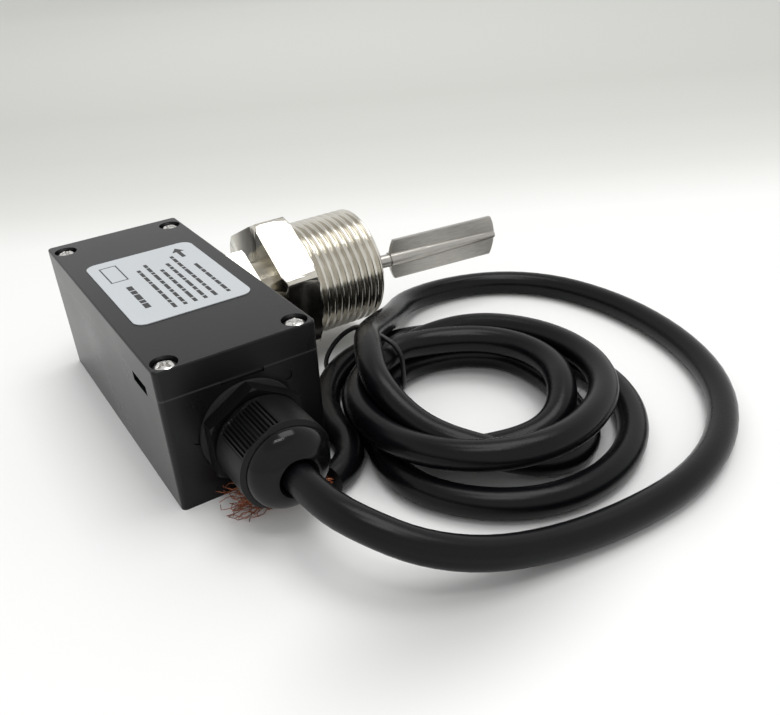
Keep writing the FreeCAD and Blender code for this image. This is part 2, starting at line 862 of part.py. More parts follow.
def make_dry_side():
    magnet = new_part("return_magnet")
    disc = new_sketch(magnet, "return_disc", "YZ_Plane", "stub_end")
    circle(disc, "return_magnet_offset", "0", "return_magnet_radius")
    pad(magnet, disc, "return_magnet_length", reverse=True)
    in_fitting(magnet)

    board = new_part("circuit_board")
    plate = new_sketch(board, "board_plate", "XY_Plane", "board_height")
    rectangle(
        plate,
        "-board_width / 2",
        "board_offset - board_length / 2",
        "board_width / 2",
        "board_offset + board_length / 2",
    )
    for across, along in BOARD_POSTS:
        circle(plate, across, along, "board_screw_radius + board_hole_clearance")
    pad(board, plate, "board_thickness")

    solids = [
        screw_solid(
            size(across),
            size(along),
            size("board_top"),
            size("board_head_radius"),
            size("board_head_height"),
            size("board_screw_radius"),
            size("board_thickness + board_screw_grip"),
        )
        for across, along in BOARD_POSTS
    ]
    feature_part("board_screws", Part.makeCompound(solids))

    reed = new_part("reed_switch")
    tube = new_sketch(reed, "reed_tube", "XZ_Plane")
    circle(tube, "reed_x", "reed_z", "reed_radius")
    pad(reed, tube, "reed_length", both=True)
    for end in (-1, 1):
        side = "near" if end < 0 else "far"
        leg_y = f"{end} * (reed_length / 2 + lead_length - lead_radius)"
        wire = new_sketch(reed, f"reed_wire_{side}", "XZ_Plane", f"-{end} * reed_length / 2")
        circle(wire, "reed_x", "reed_z", "lead_radius")
        pad(reed, wire, "lead_length", reverse=end > 0)
        leg = new_sketch(reed, f"reed_leg_{side}", "XY_Plane", "reed_z")
        circle(leg, "reed_x", leg_y, "leg_radius")
        pad(reed, leg, "reed_z - board_top", reverse=True)
    place(reed, "0", "fitting_offset", "0")

    block = new_part("terminal_block")
    body_sketch = new_sketch(block, "terminal_body", "XY_Plane", "board_top")
    rectangle(
        body_sketch,
        "-terminal_width / 2",
        "terminal_y",
        "terminal_width / 2",
        "terminal_y + terminal_depth",
    )
    pad(block, body_sketch, "terminal_height")
    mouths = new_sketch(block, "terminal_mouths", "XZ_Plane", "-terminal_y")
    wells = new_sketch(block, "terminal_wells", "XY_Plane", "terminal_top")
    for pole in (-1, 0, 1):
        across = f"{pole} * terminal_width / 3"
        circle(mouths, across, "terminal_entry_z", "terminal_hole")
        circle(wells, across, "terminal_y + terminal_depth / 2", "terminal_screw_radius")
    pocket(block, mouths, "terminal_hole_depth")
    pocket(block, wells, "terminal_screw_length")

    screws = []
    for pole in (-1, 0, 1):
        foot = FreeCAD.Vector(
            pole * size("terminal_width") / 3,
            size("terminal_y + terminal_depth / 2"),
            size("terminal_top - terminal_screw_length"),
        )
        length = size("terminal_screw_length - terminal_screw_drop")
        radius = size("terminal_screw_radius")
        width = size("slot_width")
        depth = size("slot_depth")
        screw = Part.makeCylinder(radius, length, foot)
        corner = foot + FreeCAD.Vector(-radius, -width / 2, length - depth)
        screws.append(screw.cut(Part.makeBox(2 * radius, width, 2 * depth, corner)))
    feature_part("terminal_screws", Part.makeCompound(screws))


def make_gland():
    make_ring(
        "gland_washer",
        "0",
        "flange_start",
        "gland_washer_radius",
        "gland_thread_radius + thread_clearance",
        in_gland,
    )
    make_nut(
        "gland_locknut",
        "-wall - gland_nut_length",
        "gland_nut_length",
        "2 * flange_corner * cos(30)",
        "gland_thread_radius + thread_clearance",
        in_gland,
    )

    body = new_part("gland_body")
    profile = new_sketch(body, "gland_profile", "XY_Plane")
    outline(
        profile,
        [
            ("-gland_thread_length", "bore_radius"),
            ("seal_start", "bore_radius"),
            ("seal_start", "seal_radius"),
            ("flange_end + cap_thread_length", "seal_radius"),
            ("flange_end + cap_thread_length", "cap_thread_radius"),
            ("flange_start", "cap_thread_radius"),
            ("flange_start", "gland_thread_radius"),
            ("-gland_thread_length", "gland_thread_radius"),
        ],
    )
    turned(body, profile)
    flange = new_sketch(body, "gland_flange", "YZ_Plane", "flange_start")
    hexagon(flange, "flange_corner")
    circle(flange, "0", "0", "cap_thread_radius - head_overlap")
    pad(body, flange, "flange_length")
    chamfer_corners(
        body, "gland_chamfer", "flange_corner", "flange_start", "flange_end", "nut_chamfer"
    )
    in_gland(body)

    seal = new_part("gland_seal")
    sleeve = new_sketch(seal, "seal_sleeve", "YZ_Plane", "seal_start")
    circle(sleeve, "0", "0", "seal_radius")
    circle(sleeve, "0", "0", "cable_radius")
    pad(seal, sleeve, "seal_length")
    in_gland(seal)

    cap = new_part("gland_cap")
    shell = new_sketch(cap, "cap_profile", "XY_Plane")
    thread_hole = "cap_thread_radius + thread_clearance"
    cable_hole = "cable_radius + cable_clearance"
    seal_stop = "seal_start + seal_length"
    outline(
        shell,
        [
            ("cap_start", thread_hole),
            ("cap_end - cap_shoulder", thread_hole),
            ("cap_end - cap_shoulder", "seal_radius + thread_clearance"),
            (seal_stop, "seal_radius + thread_clearance"),
            ("cap_end + cone_reach", cable_hole),
            ("dome_end - lip_depth", cable_hole),
            ("dome_end", "exit_radius"),
            ("dome_end - lip_round", "exit_radius + lip_width"),
            ("cap_end", "dome_radius"),
            ("cap_end - cap_edge", "cap_radius - cap_edge_inset"),
            ("cap_end - 2 * cap_edge", "cap_radius"),
            ("cap_start + cap_chamfer", "cap_radius"),
            ("cap_start", "cap_radius - cap_chamfer"),
        ],
        {7: "dome_curve"},
    )
    turned(cap, shell)
    cap_corner = "(cap_flats / 2 / cos(30))"
    flats = new_sketch(cap, "cap_flats", "YZ_Plane", "cap_start")
    hexagon(flats, cap_corner)
    circle(flats, "0", "0", "2 * cap_radius")
    pocket(cap, flats, "cap_length - flat_inset", reverse=True)
    ribs = new_sketch(cap, "cap_ribs", "YZ_Plane", "cap_start")
    for facet in (0, 120, 240):
        for rib in range(int(SIZES["rib_count"])):
            angle = f"({facet} + rib_pitch * ({rib} - (rib_count - 1) / 2))"
            foot = f"(cap_flats / 2 / cos(rib_pitch * ({rib} - (rib_count - 1) / 2)))"
            outline(
                ribs,
                [
                    (
                        f"({foot} + {rise}) * cos({angle}) - {sway} * sin({angle})",
                        f"({foot} + {rise}) * sin({angle}) + {sway} * cos({angle})",
                    )
                    for rise, sway in (
                        ("rib_clearance", "rib_width / 2"),
                        ("(-rib_depth)", "0"),
                        ("rib_clearance", "(-rib_width / 2)"),
                    )
                ],
            )
    pocket(cap, ribs, "cap_length - rib_inset", reverse=True)
    in_gland(cap)


def corner_arcs(route):
    """Straight runs and tangent arcs along a route, and the arcs' radii."""
    points = [FreeCAD.Vector(*p) for p in route]
    edges = []
    radii = []
    start = points[0]
    for before, corner, after in zip(points, points[1:], points[2:]):
        back = (before - corner).normalize()
        ahead = (after - corner).normalize()
        half_turn = (math.pi - back.getAngle(ahead)) / 2
        run = min((corner - before).Length, (after - corner).Length)
        setback = 0.45 * run
        radius = setback / math.tan(half_turn)
        radii.append(radius)
        arc_start = corner + back * setback
        arc_stop = corner + ahead * setback
        inward = (back + ahead).normalize()
        centre = corner + inward * (radius / math.cos(half_turn))
        middle = centre - inward * radius
        edges.append(Part.LineSegment(start, arc_start).toShape())
        edges.append(Part.Arc(arc_start, middle, arc_stop).toShape())
        start = arc_stop
    edges.append(Part.LineSegment(start, points[-1]).toShape())
    return edges, radii


def tube(route, radius, label):
    """A round tube along a route, checked by its volume."""
    edges, radii = corner_arcs(route)
    spine = Part.Wire(edges)
    heading = FreeCAD.Vector(*route[1]) - FreeCAD.Vector(*route[0])
    section = Part.Wire(
        [Part.makeCircle(radius, FreeCAD.Vector(*route[0]), heading)]
    )
    solid = spine.makePipeShell([section], True, False)
    expected = math.pi * radius**2 * spine.Length
    print(
        f"{label}: {spine.Length:.1f} mm long,",
        "radii",
        [round(r, 1) for r in radii],
        f"volume / section x length {solid.Volume / expected:.4f}",
    )
    return solid


def make_inner_cable():
    radius = size("cable_radius")
    mouth = -size("half_length") - size("dome_end")
    inside = -size("half_length") + size("cable_inside")
    level = size("gland_height")
    sheath = Part.makeCylinder(
        radius, inside - mouth, FreeCAD.Vector(0, mouth, level), FreeCAD.Vector(0, 1, 0)
    )
    feature_part("cable_inner", sheath)
    entry_y = size("terminal_y + terminal_hole_depth")
    entry_z = size("terminal_entry_z")
    cores = []
    for pole in (-1, 0, 1):
        start_x = pole * size("core_spread")
        stop_x = pole * size("terminal_width") / 3
        middle = (inside + size("terminal_y")) / 2
        route = [
            (start_x, inside, level),
            (start_x, middle - size("core_straight"), level),
            (stop_x, middle + size("core_settle"), entry_z),
            (stop_x, entry_y, entry_z),
        ]
        cores.append(tube(route, size("core_radius"), f"core {pole + 2}"))
    feature_part("inner_conductors", Part.makeCompound(cores))


def tie_route():
    """The tie's ring about the tied turns, in the plane of its angle."""
    angle = math.radians(size("tie_angle"))
    out = FreeCAD.Vector(math.cos(angle), math.sin(angle), 0)
    centre = FreeCAD.Vector(size("coil_x"), size("coil_y"), 0)
    gap = size("tie_gap")
    low = gap
    high = 3 * size("cable_size") + gap
    near = centre + out * (size("coil_hole") - gap)
    far = centre + out * (size("coil_outer") + gap)
    return near, far, low, high


def make_tie():
    near, far, low, high = tie_route()
    bend = size("tie_gap")
    across = (far - near).normalize()
    rise = FreeCAD.Vector(0, 0, 1)
    corners = [
        near + rise * low,
        far + rise * low,
        far + rise * high,
        near + rise * high,
    ]
    sides = [across, rise, -across, -rise]
    edges = []
    for corner, side, following, side_after in zip(
        corners, sides, corners[1:] + corners[:1], sides[1:] + sides[:1]
    ):
        start = corner + side * bend
        stop = following - side * bend
        turn_end = following + side_after * bend
        centre = following - side * bend + side_after * bend
        middle = centre + (side - side_after).normalize() * bend
        edges.append(Part.LineSegment(start, stop).toShape())
        edges.append(Part.Arc(stop, middle, turn_end).toShape())
    spine = Part.Wire(edges)
    start = corners[0] + across * bend
    section = Part.Wire([Part.makeCircle(size("tie_radius"), start, across)])
    feature_part("twist_tie", spine.makePipeShell([section], True, False))


def make_cord():
    radius = size("cable_radius")
    level = size("gland_height")
    mouth = -size("half_length") - size("dome_end")
    row = size("cable_size")
    centre = FreeCAD.Vector(size("coil_x"), size("coil_y"), 0)
    lower = Part.makeCylinder(size("coil_outer"), row, centre)
    lower = lower.cut(Part.makeCylinder(size("coil_hole"), row, centre))
    step = centre + FreeCAD.Vector(0, 0, row)
    upper = Part.makeCylinder(size("upper_outer"), row, step)
    upper = upper.cut(Part.makeCylinder(size("upper_hole"), row, step))
    coil = lower.fuse(upper).removeSplitter()

    near, far, low, high = tie_route()
    along = far - near
    across = FreeCAD.Vector(-along.y, along.x, 0).normalize()
    slot_half = size("tie_gap")
    corner = near - across * slot_half - FreeCAD.Vector(0, 0, slot_half)
    slot = Part.makeBox(along.Length, 2 * slot_half, 3 * slot_half)
    slot.Placement = FreeCAD.Placement(
        corner, FreeCAD.Rotation(FreeCAD.Vector(0, 0, 1), size("tie_angle"))
    )
    coil = coil.cut(slot)
    feature_part("cord_coil", coil)

    lead = tube([(0, mouth, level)] + LEAD_ROUTE, radius, "lead")
    feature_part("cord_lead", lead.cut(coil))
    tail = tube(TAIL_ROUTE, radius, "tail")
    feature_part("cord_tail", tail.cut(coil))
    wires = [
        tube(route, size("strand_radius"), f"strand {number}")
        for number, route in enumerate(STRAND_ROUTES, start=1)
    ]
    feature_part("copper_strands", Part.makeCompound([w.cut(tail) for w in wires]))


def check_and_write():
    """Stops on a failed object, and writes each piece to its own file."""
    doc.recompute()
    for item in doc.Objects:
        if "Invalid" in item.State or "Error" in item.State:
            raise RuntimeError(f"{item.Label} failed: {item.State}")
    os.makedirs("parts", exist_ok=True)
    for piece in PARTS:
        shape = piece.Shape
        if shape.isNull() or not shape.isValid() or not shape.Solids:
            raise RuntimeError(f"{piece.Label} has no valid solid")
        shape.exportStep(f"parts/{piece.Label}.step")
        box = shape.BoundBox
        print(
            f"{piece.Label}: {len(shape.Solids)} solid(s), {shape.Volume:.1f} mm3,",
            f"x {box.XMin:.2f} {box.XMax:.2f} y {box.YMin:.2f} {box.YMax:.2f}",
            f"z {box.ZMin:.2f} {box.ZMax:.2f}",
        )


make_housing_base()
make_housing_lid()
make_gasket()
make_label()
make_lid_screws()
make_fitting()
make_fitting_hardware()
make_lever()
make_dry_side()
make_gland()
make_inner_cable()
make_cord()
make_tie()
check_and_write()
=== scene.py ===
"""Looks of the paddle flow switch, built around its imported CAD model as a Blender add-on.

Each piece has an operator of its own, and its numbers sit in property groups of the scene.
Lengths in the tables are millimetres in the frame of the part; Blender works in metres.
"""

import math

import bmesh
import bpy
from mathutils import Matrix, Vector


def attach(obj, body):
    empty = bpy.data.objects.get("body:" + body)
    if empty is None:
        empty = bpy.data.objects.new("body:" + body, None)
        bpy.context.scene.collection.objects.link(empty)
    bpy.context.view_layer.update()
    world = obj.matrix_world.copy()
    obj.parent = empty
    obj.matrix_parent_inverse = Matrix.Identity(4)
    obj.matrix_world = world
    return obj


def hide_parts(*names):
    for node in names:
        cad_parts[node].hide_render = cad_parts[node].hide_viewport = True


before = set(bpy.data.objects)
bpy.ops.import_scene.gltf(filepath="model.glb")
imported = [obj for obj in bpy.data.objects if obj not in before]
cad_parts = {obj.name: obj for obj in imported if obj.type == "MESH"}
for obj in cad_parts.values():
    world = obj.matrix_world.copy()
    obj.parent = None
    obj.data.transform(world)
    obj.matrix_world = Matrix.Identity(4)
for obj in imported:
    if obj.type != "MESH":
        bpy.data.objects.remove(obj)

bl_info = {
    "name": "Paddle flow switch",
    "version": (1, 0, 0),
    "blender": (4, 5, 0),
    "location": "View3D > Sidebar > Flow switch",
    "description": "Builds the looks of a paddle flow switch with its coiled cable",
    "category": "Object",
}

MM = 0.001

# The camera was solved from the edges of the housing, the fitting and the gland.
IMAGE = (780, 715)
FOCAL_PIXELS = 792.54
PRINCIPAL = (350.0, 397.5)
CAMERA_PLACE = (-52.82, -185.74, 116.40)
CAMERA_ANGLES = (-29.201, 32.482, -4.518)

# The overhead panel, the two lamp tubes and the panel behind the object, in metres.
PANEL_PLACE = (0.27, 0.0)
TUBE_PLACE = (-0.045, -0.243)
TUBE_SIZE = (0.34, 0.018)
TUBE_TURN = -29.0
TUBE_STEP = (0.49, 0.87)
TUBE_SHIFTS = (-0.04, 0.04)
BACK_PLACE = (0.2, 0.55, 0.6)
BACK_SIZE = 0.5
BACK_TILT = -45.0

# The rise of a mirrored ray at which the room turns into its ceiling.
CEILING_EDGE = (0.62, 0.86)

# The paper of the floor: its grey by the distance behind the object, seen along the camera. This grey is
# painted shade, standing in for the light falling off over the paper.
DEPTH_OF_X = 0.488
DEPTH_OF_Y = 0.873
PAINTED_FALLOFF_TONES = [
    (0.0, (0.84, 0.842, 0.832)),
    (0.125, (0.775, 0.778, 0.76)),
    (0.174, (0.635, 0.64, 0.612)),
    (0.206, (0.585, 0.59, 0.56)),
    (0.262, (0.54, 0.545, 0.515)),
    (0.362, (0.515, 0.52, 0.488)),
    (0.62, (0.60, 0.605, 0.575)),
    (0.93, (0.70, 0.705, 0.67)),
]
# A soft grey patch of painted shadow on the floor before the loop: centre and reach in metres, and what
# is kept.
PAINTED_SHADOW_CENTRE = (0.015, -0.104)
PAINTED_SHADOW_REACH = (0.052, 0.025)
PAINTED_SHADOW_DEPTH = 0.68

# The cable from the gland to the place where the coil starts.
CABLE_EXIT = (0.0, -67.5, 15.5)
LOOP = [
    CABLE_EXIT,
    (0.0, -77.0, 15.5), (3.8, -86.5, 14.3), (11.0, -95.0, 11.0), (22.5, -100.5, 7.2),
    (37.0, -103.6, 4.5), (54.0, -105.8, 3.65), (74.0, -105.8, 3.65), (93.0, -99.8, 3.65),
    (109.5, -87.5, 3.65), (121.0, -70.0, 3.65), (126.8, -49.0, 3.65), (126.8, -29.0, 3.65),
    (121.5, -11.5, 3.65), (109.5, 1.0, 3.65), (93.0, 6.9, 3.8), (76.0, 5.2, 4.7), (64.5, -6.5, 8.4),
    (53.2, -16.0, 12.9),
]
COIL_CENTRE = (58.0, -53.0)
# Height of the centreline where the cable lies on the floor.
LOWEST = 3.65
# Stations round the coil: degrees from +X, radius, height of the centreline.
STATIONS = [
    (112.4, 32.5, 15.3), (122, 29.9, 17.7), (131, 27.6, 18.4), (146, 26.0, 18.0),
    (163, 26.0, 17.0), (174, 25.6, 15.4), (187, 25.0, 13.0), (200, 25.1, 11.3),
    (215, 25.9, 10.2), (232, 26.7, 8.8), (250, 28.6, 6.4), (270, 31.4, 3.9),
    (290, 30.2, 3.6), (306, 26.6, 3.6), (322, 22.8, 3.6), (360, 22.6, 3.6),
    (394, 25.0, 3.6), (432, 25.2, 3.6), (450, 25.0, 3.6),
    (472, 24.8, 4.9), (482, 24.0, 3.8), (491, 23.4, 3.6), (503, 22.4, 3.6),
    (523, 21.4, 3.6), (531, 21.0, 3.6), (540, 21.3, 3.6), (557, 22.5, 3.6), (573, 22.2, 3.6),
    (592, 21.0, 4.0), (610, 21.2, 5.3), (630, 22.8, 6.6), (650, 22.6, 8.6),
    (666, 21.5, 10.0), (682, 20.7, 10.8), (720, 20.7, 10.8), (754, 21.0, 10.8),
    (790, 21.5, 10.8), (810, 23.2, 10.9),
    (832, 25.2, 12.1), (842, 26.0, 11.0), (851, 27.6, 10.7), (866, 29.4, 10.85),
    (883, 30.6, 10.85), (900, 31.6, 10.85), (917, 32.7, 10.9), (933, 33.6, 11.6),
    (955, 34.2, 12.3), (979, 33.4, 12.5), (1010, 31.2, 12.2), (1040, 30.7, 11.8),
    (1075, 29.5, 11.4), (1114, 28.6, 11.2), (1135, 29.3, 10.6), (1152, 30.8, 8.4),
    (1170, 32.4, 5.6),
    (1192, 32.6, 4.9), (1208, 32.2, 3.7), (1223, 31.0, 3.6), (1243, 28.75, 3.6),
    (1251, 28.15, 3.6), (1260, 29.1, 3.6), (1277, 34.0, 3.6), (1289, 37.0, 3.6),
    (1302, 38.6, 3.6), (1329, 41.0, 3.6),
    (1357, 40.6, 3.6), (1377, 39.4, 3.6), (1400, 37.8, 3.6), (1420, 36.5, 3.6),
    (1440, 34.6, 3.6), (1476, 34.6, 3.6), (1500, 36.5, 3.6), (1515, 38.6, 3.6),
    (1530, 39.9, 3.6),
    (1552, 40.1, 4.9), (1568, 40.0, 3.7), (1583, 38.7, 3.6), (1603, 36.4, 3.6),
]
TAIL = [
    (23.05, -46.3, 3.65), (21.6, -50.7, 3.65), (18.8, -54.5, 3.65), (15.0, -57.2, 3.65),
    (11.8, -58.2, 3.65),
]

# The tie, as radius and height in the upright plane through the coil's centre at TIE_ANGLE.
TIE_ANGLE = 119.0
TIE_PATH = [
    (31.2, 18.9), (33.6, 18.9), (36.0, 17.6), (38.4, 15.6), (40.8, 12.9), (42.8, 9.9),
    (44.2, 7.0), (44.6, 4.4), (43.6, 1.9), (40.6, 0.75), (34.0, 0.7), (27.6, 0.7),
    (23.6, 0.9), (21.2, 2.4), (20.4, 5.2), (20.4, 9.0), (20.8, 12.6), (22.4, 15.4),
    (25.0, 17.0), (28.0, 18.2), (31.2, 18.9),
]

# Guides of the bare strands, from the cable's end.
STRAND_GUIDES = [
    [(11.8, -58.2, 3.9), (5.0, -55.0, 3.0), (0.0, -51.5, 2.0), (-5.5, -49.0, 1.6)],
    [(11.8, -58.2, 3.0), (4.5, -54.0, 2.2), (-0.5, -50.0, 1.7), (-7.0, -47.5, 1.2)],
    [(11.8, -58.2, 3.6), (5.0, -55.6, 2.4), (-1.0, -53.0, 1.6), (-7.5, -50.5, 0.9)],
]
# In metres: the bundle's reach and the gap to the floor; cells a metre and reach of the curls.
STRAND_BUNDLE = 0.0009
FLOOR_GAP = 0.00005
CURL_CELLS = 330.0
CURL_REACH = 2.2
FRAY_POWER = 2.4
AIM_LOW = (-1, -1, -0.45)
AIM_HIGH = (1, 1, 0.75)

# The fitting about its own axis: along X, height Z.
FITTING_AXIS = (8.9, 21.0)
PITCH = 2.309
THREAD_DEPTH = 1.28
THREAD_STEPS = 16
ROUND_STEPS = 180
HEXAGON = {"start": 28.85, "stop": 39.15, "inradius": 18.0, "corner": 34.0, "face": 19.58}
THREAD = {
    "start": 39.15, "stop": 61.85, "radius": 16.6, "chamfer": 1.0,
    "lead_in": 0.5, "grow": 1.6, "run_out": 0.9,
}
# The share of half a pitch over which a flank goes from crest to root.
FLANK = (0.22, 1.0)
# Half profiles of the neck and of the bore: distance along X, radius.
FITTING_NECK = [(9.5, 0), (9.5, 6.6), (10.1, 7.2), (25.65, 7.2), (25.65, 9.0), (28.85, 9.0)]
FITTING_BORE = [(61.85, 12.9), (61.35, 12.4), (40.85, 12.4), (35.85, 5.4), (11.0, 5.4), (11.0, 0)]

# The dome nut along the gland's axis. Its three grips: both ends, the distance of the flats,
# and the grooves in each flat.
GRIP = (49.9, 61.9)
GRIP_FLAT = 10.45
GRIP_HALF_TURN = 30.0
GROOVE_TURN = 4.8
GROOVE_DEPTH = 0.55
GROOVE_ENDS = (0.9, 0.4)
GLAND_HEIGHT = 15.5
# Half profile of the dome nut: distance from the middle of the part, radius.
CAP_PROFILE = [
    (53.6, 9.05), (49.4, 9.05), (49.4, 10.4), (49.9, 10.9), (50.6, 10.9), (50.8, 10.9),
    (52.0, 10.9), (54.0, 10.9), (56.0, 10.9), (58.0, 10.9), (60.0, 10.9), (61.3, 10.9),
    (61.55, 10.9), (61.9, 10.9), (62.3, 10.3), (62.4, 9.75), (63.0, 9.7), (63.8, 9.45),
    (64.6, 9.0), (65.3, 8.4), (66.0, 7.6), (66.6, 6.7), (67.1, 5.8), (67.4, 5.1),
    (67.5, 4.7), (67.2, 4.3), (66.6, 3.75), (64.0, 3.75), (61.0, 6.5), (56.0, 6.5),
    (53.6, 6.5), (53.6, 9.05),
]

# Lid screws: centre and turn of the cross recess in degrees.
LID_SCREWS = [(-15.45, -40.8, 24), (15.45, -40.8, 62), (-15.45, 37.9, 8), (15.45, 37.9, 47)]
SCREW_SEAT = 32.9
HEAD_SIDE = 2.2
HEAD_TOP = 3.3
HEAD_RADIUS = 2.7
HEAD_RINGS = [
    2.66, 2.55, 2.38, 2.2, 2.0, 1.85, 1.7, 1.55, 1.4, 1.25, 1.1, 0.95, 0.8, 0.66, 0.54, 0.42, 0.3, 0.2,
    0.1,
]
RECESS_DEPTH = 1.05
ARM_HALF_WIDTH = 0.26
ARM_REACH = 1.45
CORE_RADIUS = 0.55

# The print on the label: left edge, start, width and length of each ruled line, the frame and
# the arrow's place, from the label's middle.
LABEL_TOP = 36.7
PRINT_HEIGHT = 0.02
ARROW_PLACE = (9.6, 14.6)
ARROW = [(-3.6, -0.55), (0.8, -0.55), (0.8, -1.7), (3.6, 0), (0.8, 1.7), (0.8, 0.55), (-3.6, 0.55)]
PRINT_LINES = [
    (-9.8, -13.5, 1.5, 15.0), (-4.2, -17.5, 0.95, 28.0), (-1.6, -17.5, 0.95, 30.0),
    (1.0, -17.5, 0.95, 24.0), (3.6, -17.5, 0.95, 27.0), (6.2, -17.5, 0.95, 31.0),
    (9.6, -17.5, 0.95, 22.0),
]
PRINT_FRAME = {"left": -12.0, "low": 6.2, "right": -7.4, "high": 17.6, "edge": 0.35}
# The dashes of the ruled lines.
WORD_LENGTHS = (2.9, 1.7, 3.6, 2.2, 4.3, 1.4, 3.1)
WORD_SPACE = 0.45

# Heights and places in metres: the painted highlight of the base's rounded edge under the lid, and where
# the dome nut turns glossy.
SEAM_HEIGHT = 0.0293
SEAM_HIGHLIGHT_REACH = (0.0001, 0.0003)
GRIP_EDGE = (-0.0626, -0.0620)

# The CAD nodes that stay in view, by their finish.
NODES_OF_FINISH = {
    "housing_black": ("housing_base", "housing_lid"),
    "seal_rubber": ("lid_gasket", "neck_washer", "gland_washer", "gland_seal"),
    "label_grey": ("label_plate",),
    "nickel_brass": ("neck_nut", "inner_locknut"),
    "stainless": ("pivot_pin", "lever_hub", "paddle_rod", "paddle_blade"),
    "magnet_dark": ("lever_magnet", "return_magnet"),
    "board_green": ("circuit_board",),
    "screw_nickel": ("board_screws", "terminal_screws"),
    "reed_glass": ("reed_switch",),
    "terminal_grey": ("terminal_block",),
    "gland_black": ("gland_locknut", "gland_body"),
    "cable_black": ("cable_inner",),
    "core_insulation": ("inner_conductors",),
}

# Darker and lighter colour of each mottled or streaked finish.
HOUSING_BLACK = ((0.0036, 0.0036, 0.0042), (0.0050, 0.0050, 0.0057))
GLAND_BLACK = ((0.0022, 0.0022, 0.0026), (0.0036, 0.0036, 0.0041))
CABLE_BLACK = ((0.0018, 0.0019, 0.0025), (0.0034, 0.0035, 0.0043))
NICKEL = ((0.60, 0.575, 0.515), (0.74, 0.715, 0.65))
TURNED_NICKEL = ((0.56, 0.535, 0.475), (0.70, 0.675, 0.61))
BRIGHT_NICKEL = ((0.62, 0.61, 0.59), (0.74, 0.73, 0.705))
STEEL = ((0.36, 0.345, 0.318), (0.45, 0.435, 0.405))
COPPER = ((0.22, 0.07, 0.035), (0.52, 0.20, 0.11))

# Plain plastics, rubber and glass: two colours, range of roughness and grain.
PLASTICS = {
    "label_grey": (((0.45, 0.475, 0.49), (0.485, 0.51, 0.53)), (0.36, 0.46), 1.0),
    "label_print": (((0.012, 0.012, 0.013), (0.022, 0.022, 0.024)), (0.4, 0.5), 1.0),
    "seal_rubber": (((0.010, 0.010, 0.010), (0.018, 0.018, 0.018)), (0.6, 0.75), 3.0),
    "tie_black": (((0.008, 0.008, 0.008), (0.014, 0.014, 0.014)), (0.35, 0.5), 2.0),
    "magnet_dark": (((0.05, 0.048, 0.046), (0.09, 0.085, 0.08)), (0.45, 0.6), 4.0),
    "terminal_grey": (((0.10, 0.16, 0.10), (0.12, 0.19, 0.12)), (0.4, 0.5), 1.0),
    "reed_glass": (((0.35, 0.42, 0.36), (0.5, 0.56, 0.5)), (0.08, 0.14), 0.2),
    "board_green": (((0.01, 0.09, 0.035), (0.015, 0.12, 0.05)), (0.3, 0.4), 1.0),
}


# Settings


def setting(name, description, default, **more):
    """A number of a property group."""
    return bpy.props.FloatProperty(name=name, description=description, default=default, **more)


def length_setting(name, description, default):
    return setting(name, description, default, unit="LENGTH")


def power_setting(name, description, default):
    return setting(name, description, default, unit="POWER")


class FlowSwitchStage(bpy.types.PropertyGroup):
    """Numbers of the floor, the light and the camera."""

    floor_size: length_setting("Floor size", "Side of the floor", 8.0)
    light_power: power_setting("Light power", "Power of the overhead panel", 2.6)
    light_width: length_setting("Light width", "Side of the overhead panel", 0.46)
    light_height: length_setting("Light height", "Height of the overhead panel", 0.8)
    fill: setting("Fill", "Strength of the room for matt surfaces", 0.74, min=0.0)
    backdrop: setting("Backdrop", "Strength of the room in reflections", 0.9, min=0.0)
    ceiling: setting("Ceiling", "Strength of the room straight above", 0.65, min=0.0)
    back_power: power_setting("Back power", "Power of the panel behind the object", 0.9)
    tube_power: power_setting("Tube power", "Power of each lamp tube", 0.5)


class FlowSwitchCable(bpy.types.PropertyGroup):
    """Numbers of the cable, its tie and its strands."""

    diameter: length_setting("Diameter", "Outer diameter of the cable", 0.0072)
    turn_points: bpy.props.IntProperty(
        name="Points a turn", description="Control points in each turn of the coil", default=24, min=12
    )
    tie_radius: length_setting("Tie radius", "Radius of the tie's wire", 0.00065)
    strands: bpy.props.IntProperty(
        name="Strands", description="Copper wires along each guide", default=26, min=1
    )
    strand_radius: length_setting("Strand radius", "Radius of a copper wire", 0.00009)
    strand_spread: length_setting("Strand spread", "How far the wires fray apart", 0.0046)
    seed: bpy.props.IntProperty(name="Seed", description="Seed of the fraying", default=7)


class FlowSwitchSurface(bpy.types.PropertyGroup):
    """Numbers of the finishes."""

    plastic_roughness: setting("Plastic roughness", "Roughness of the housing", 0.28)
    plastic_grain: length_setting("Plastic grain", "Height of the moulded grain", 0.00001)
    brush_depth: length_setting("Brush depth", "Depth of the brushed lines", 0.00001)


# Node helpers


def link_inputs(tree, node, inputs):
    """Sets each named or numbered input to a value or to another node's socket."""
    for key, value in inputs.items():
        socket = node.inputs[key]
        if isinstance(value, bpy.types.NodeSocket):
            tree.links.new(value, socket)
        else:
            socket.default_value = value


def add(tree, kind, inputs=None, **settings):
    """A node with its settings and inputs."""
    node = tree.nodes.new(kind)
    for key, value in settings.items():
        setattr(node, key, value)
    link_inputs(tree, node, inputs or {})
    return node


def axes(tree, vector):
    """The three numbers of a vector, under the names X, Y and Z."""
    return add(tree, "ShaderNodeSeparateXYZ", {"Vector": vector}).outputs


def vector_math(tree, operation, first, second=(0, 0, 0), result="Vector"):
    """One step of arithmetic on vectors."""
    node = add(tree, "ShaderNodeVectorMath", operation=operation)
    link_inputs(tree, node, {0: first, 1: second})
    return node.outputs[result]


def scaled(tree, vector, factor):
    """The vector times a factor."""
    node = add(tree, "ShaderNodeVectorMath", operation="SCALE")
    link_inputs(tree, node, {0: vector, "Scale": factor})
    return node.outputs["Vector"]


def number(tree, operation, first, second=0.0):
    """One step of arithmetic on two numbers."""
    node = add(tree, "ShaderNodeMath", operation=operation)
    link_inputs(tree, node, {0: first, 1: second})
    return node.outputs["Value"]


def times(tree, first, second):
    """The product of two numbers."""
    return number(tree, "MULTIPLY", first, second)


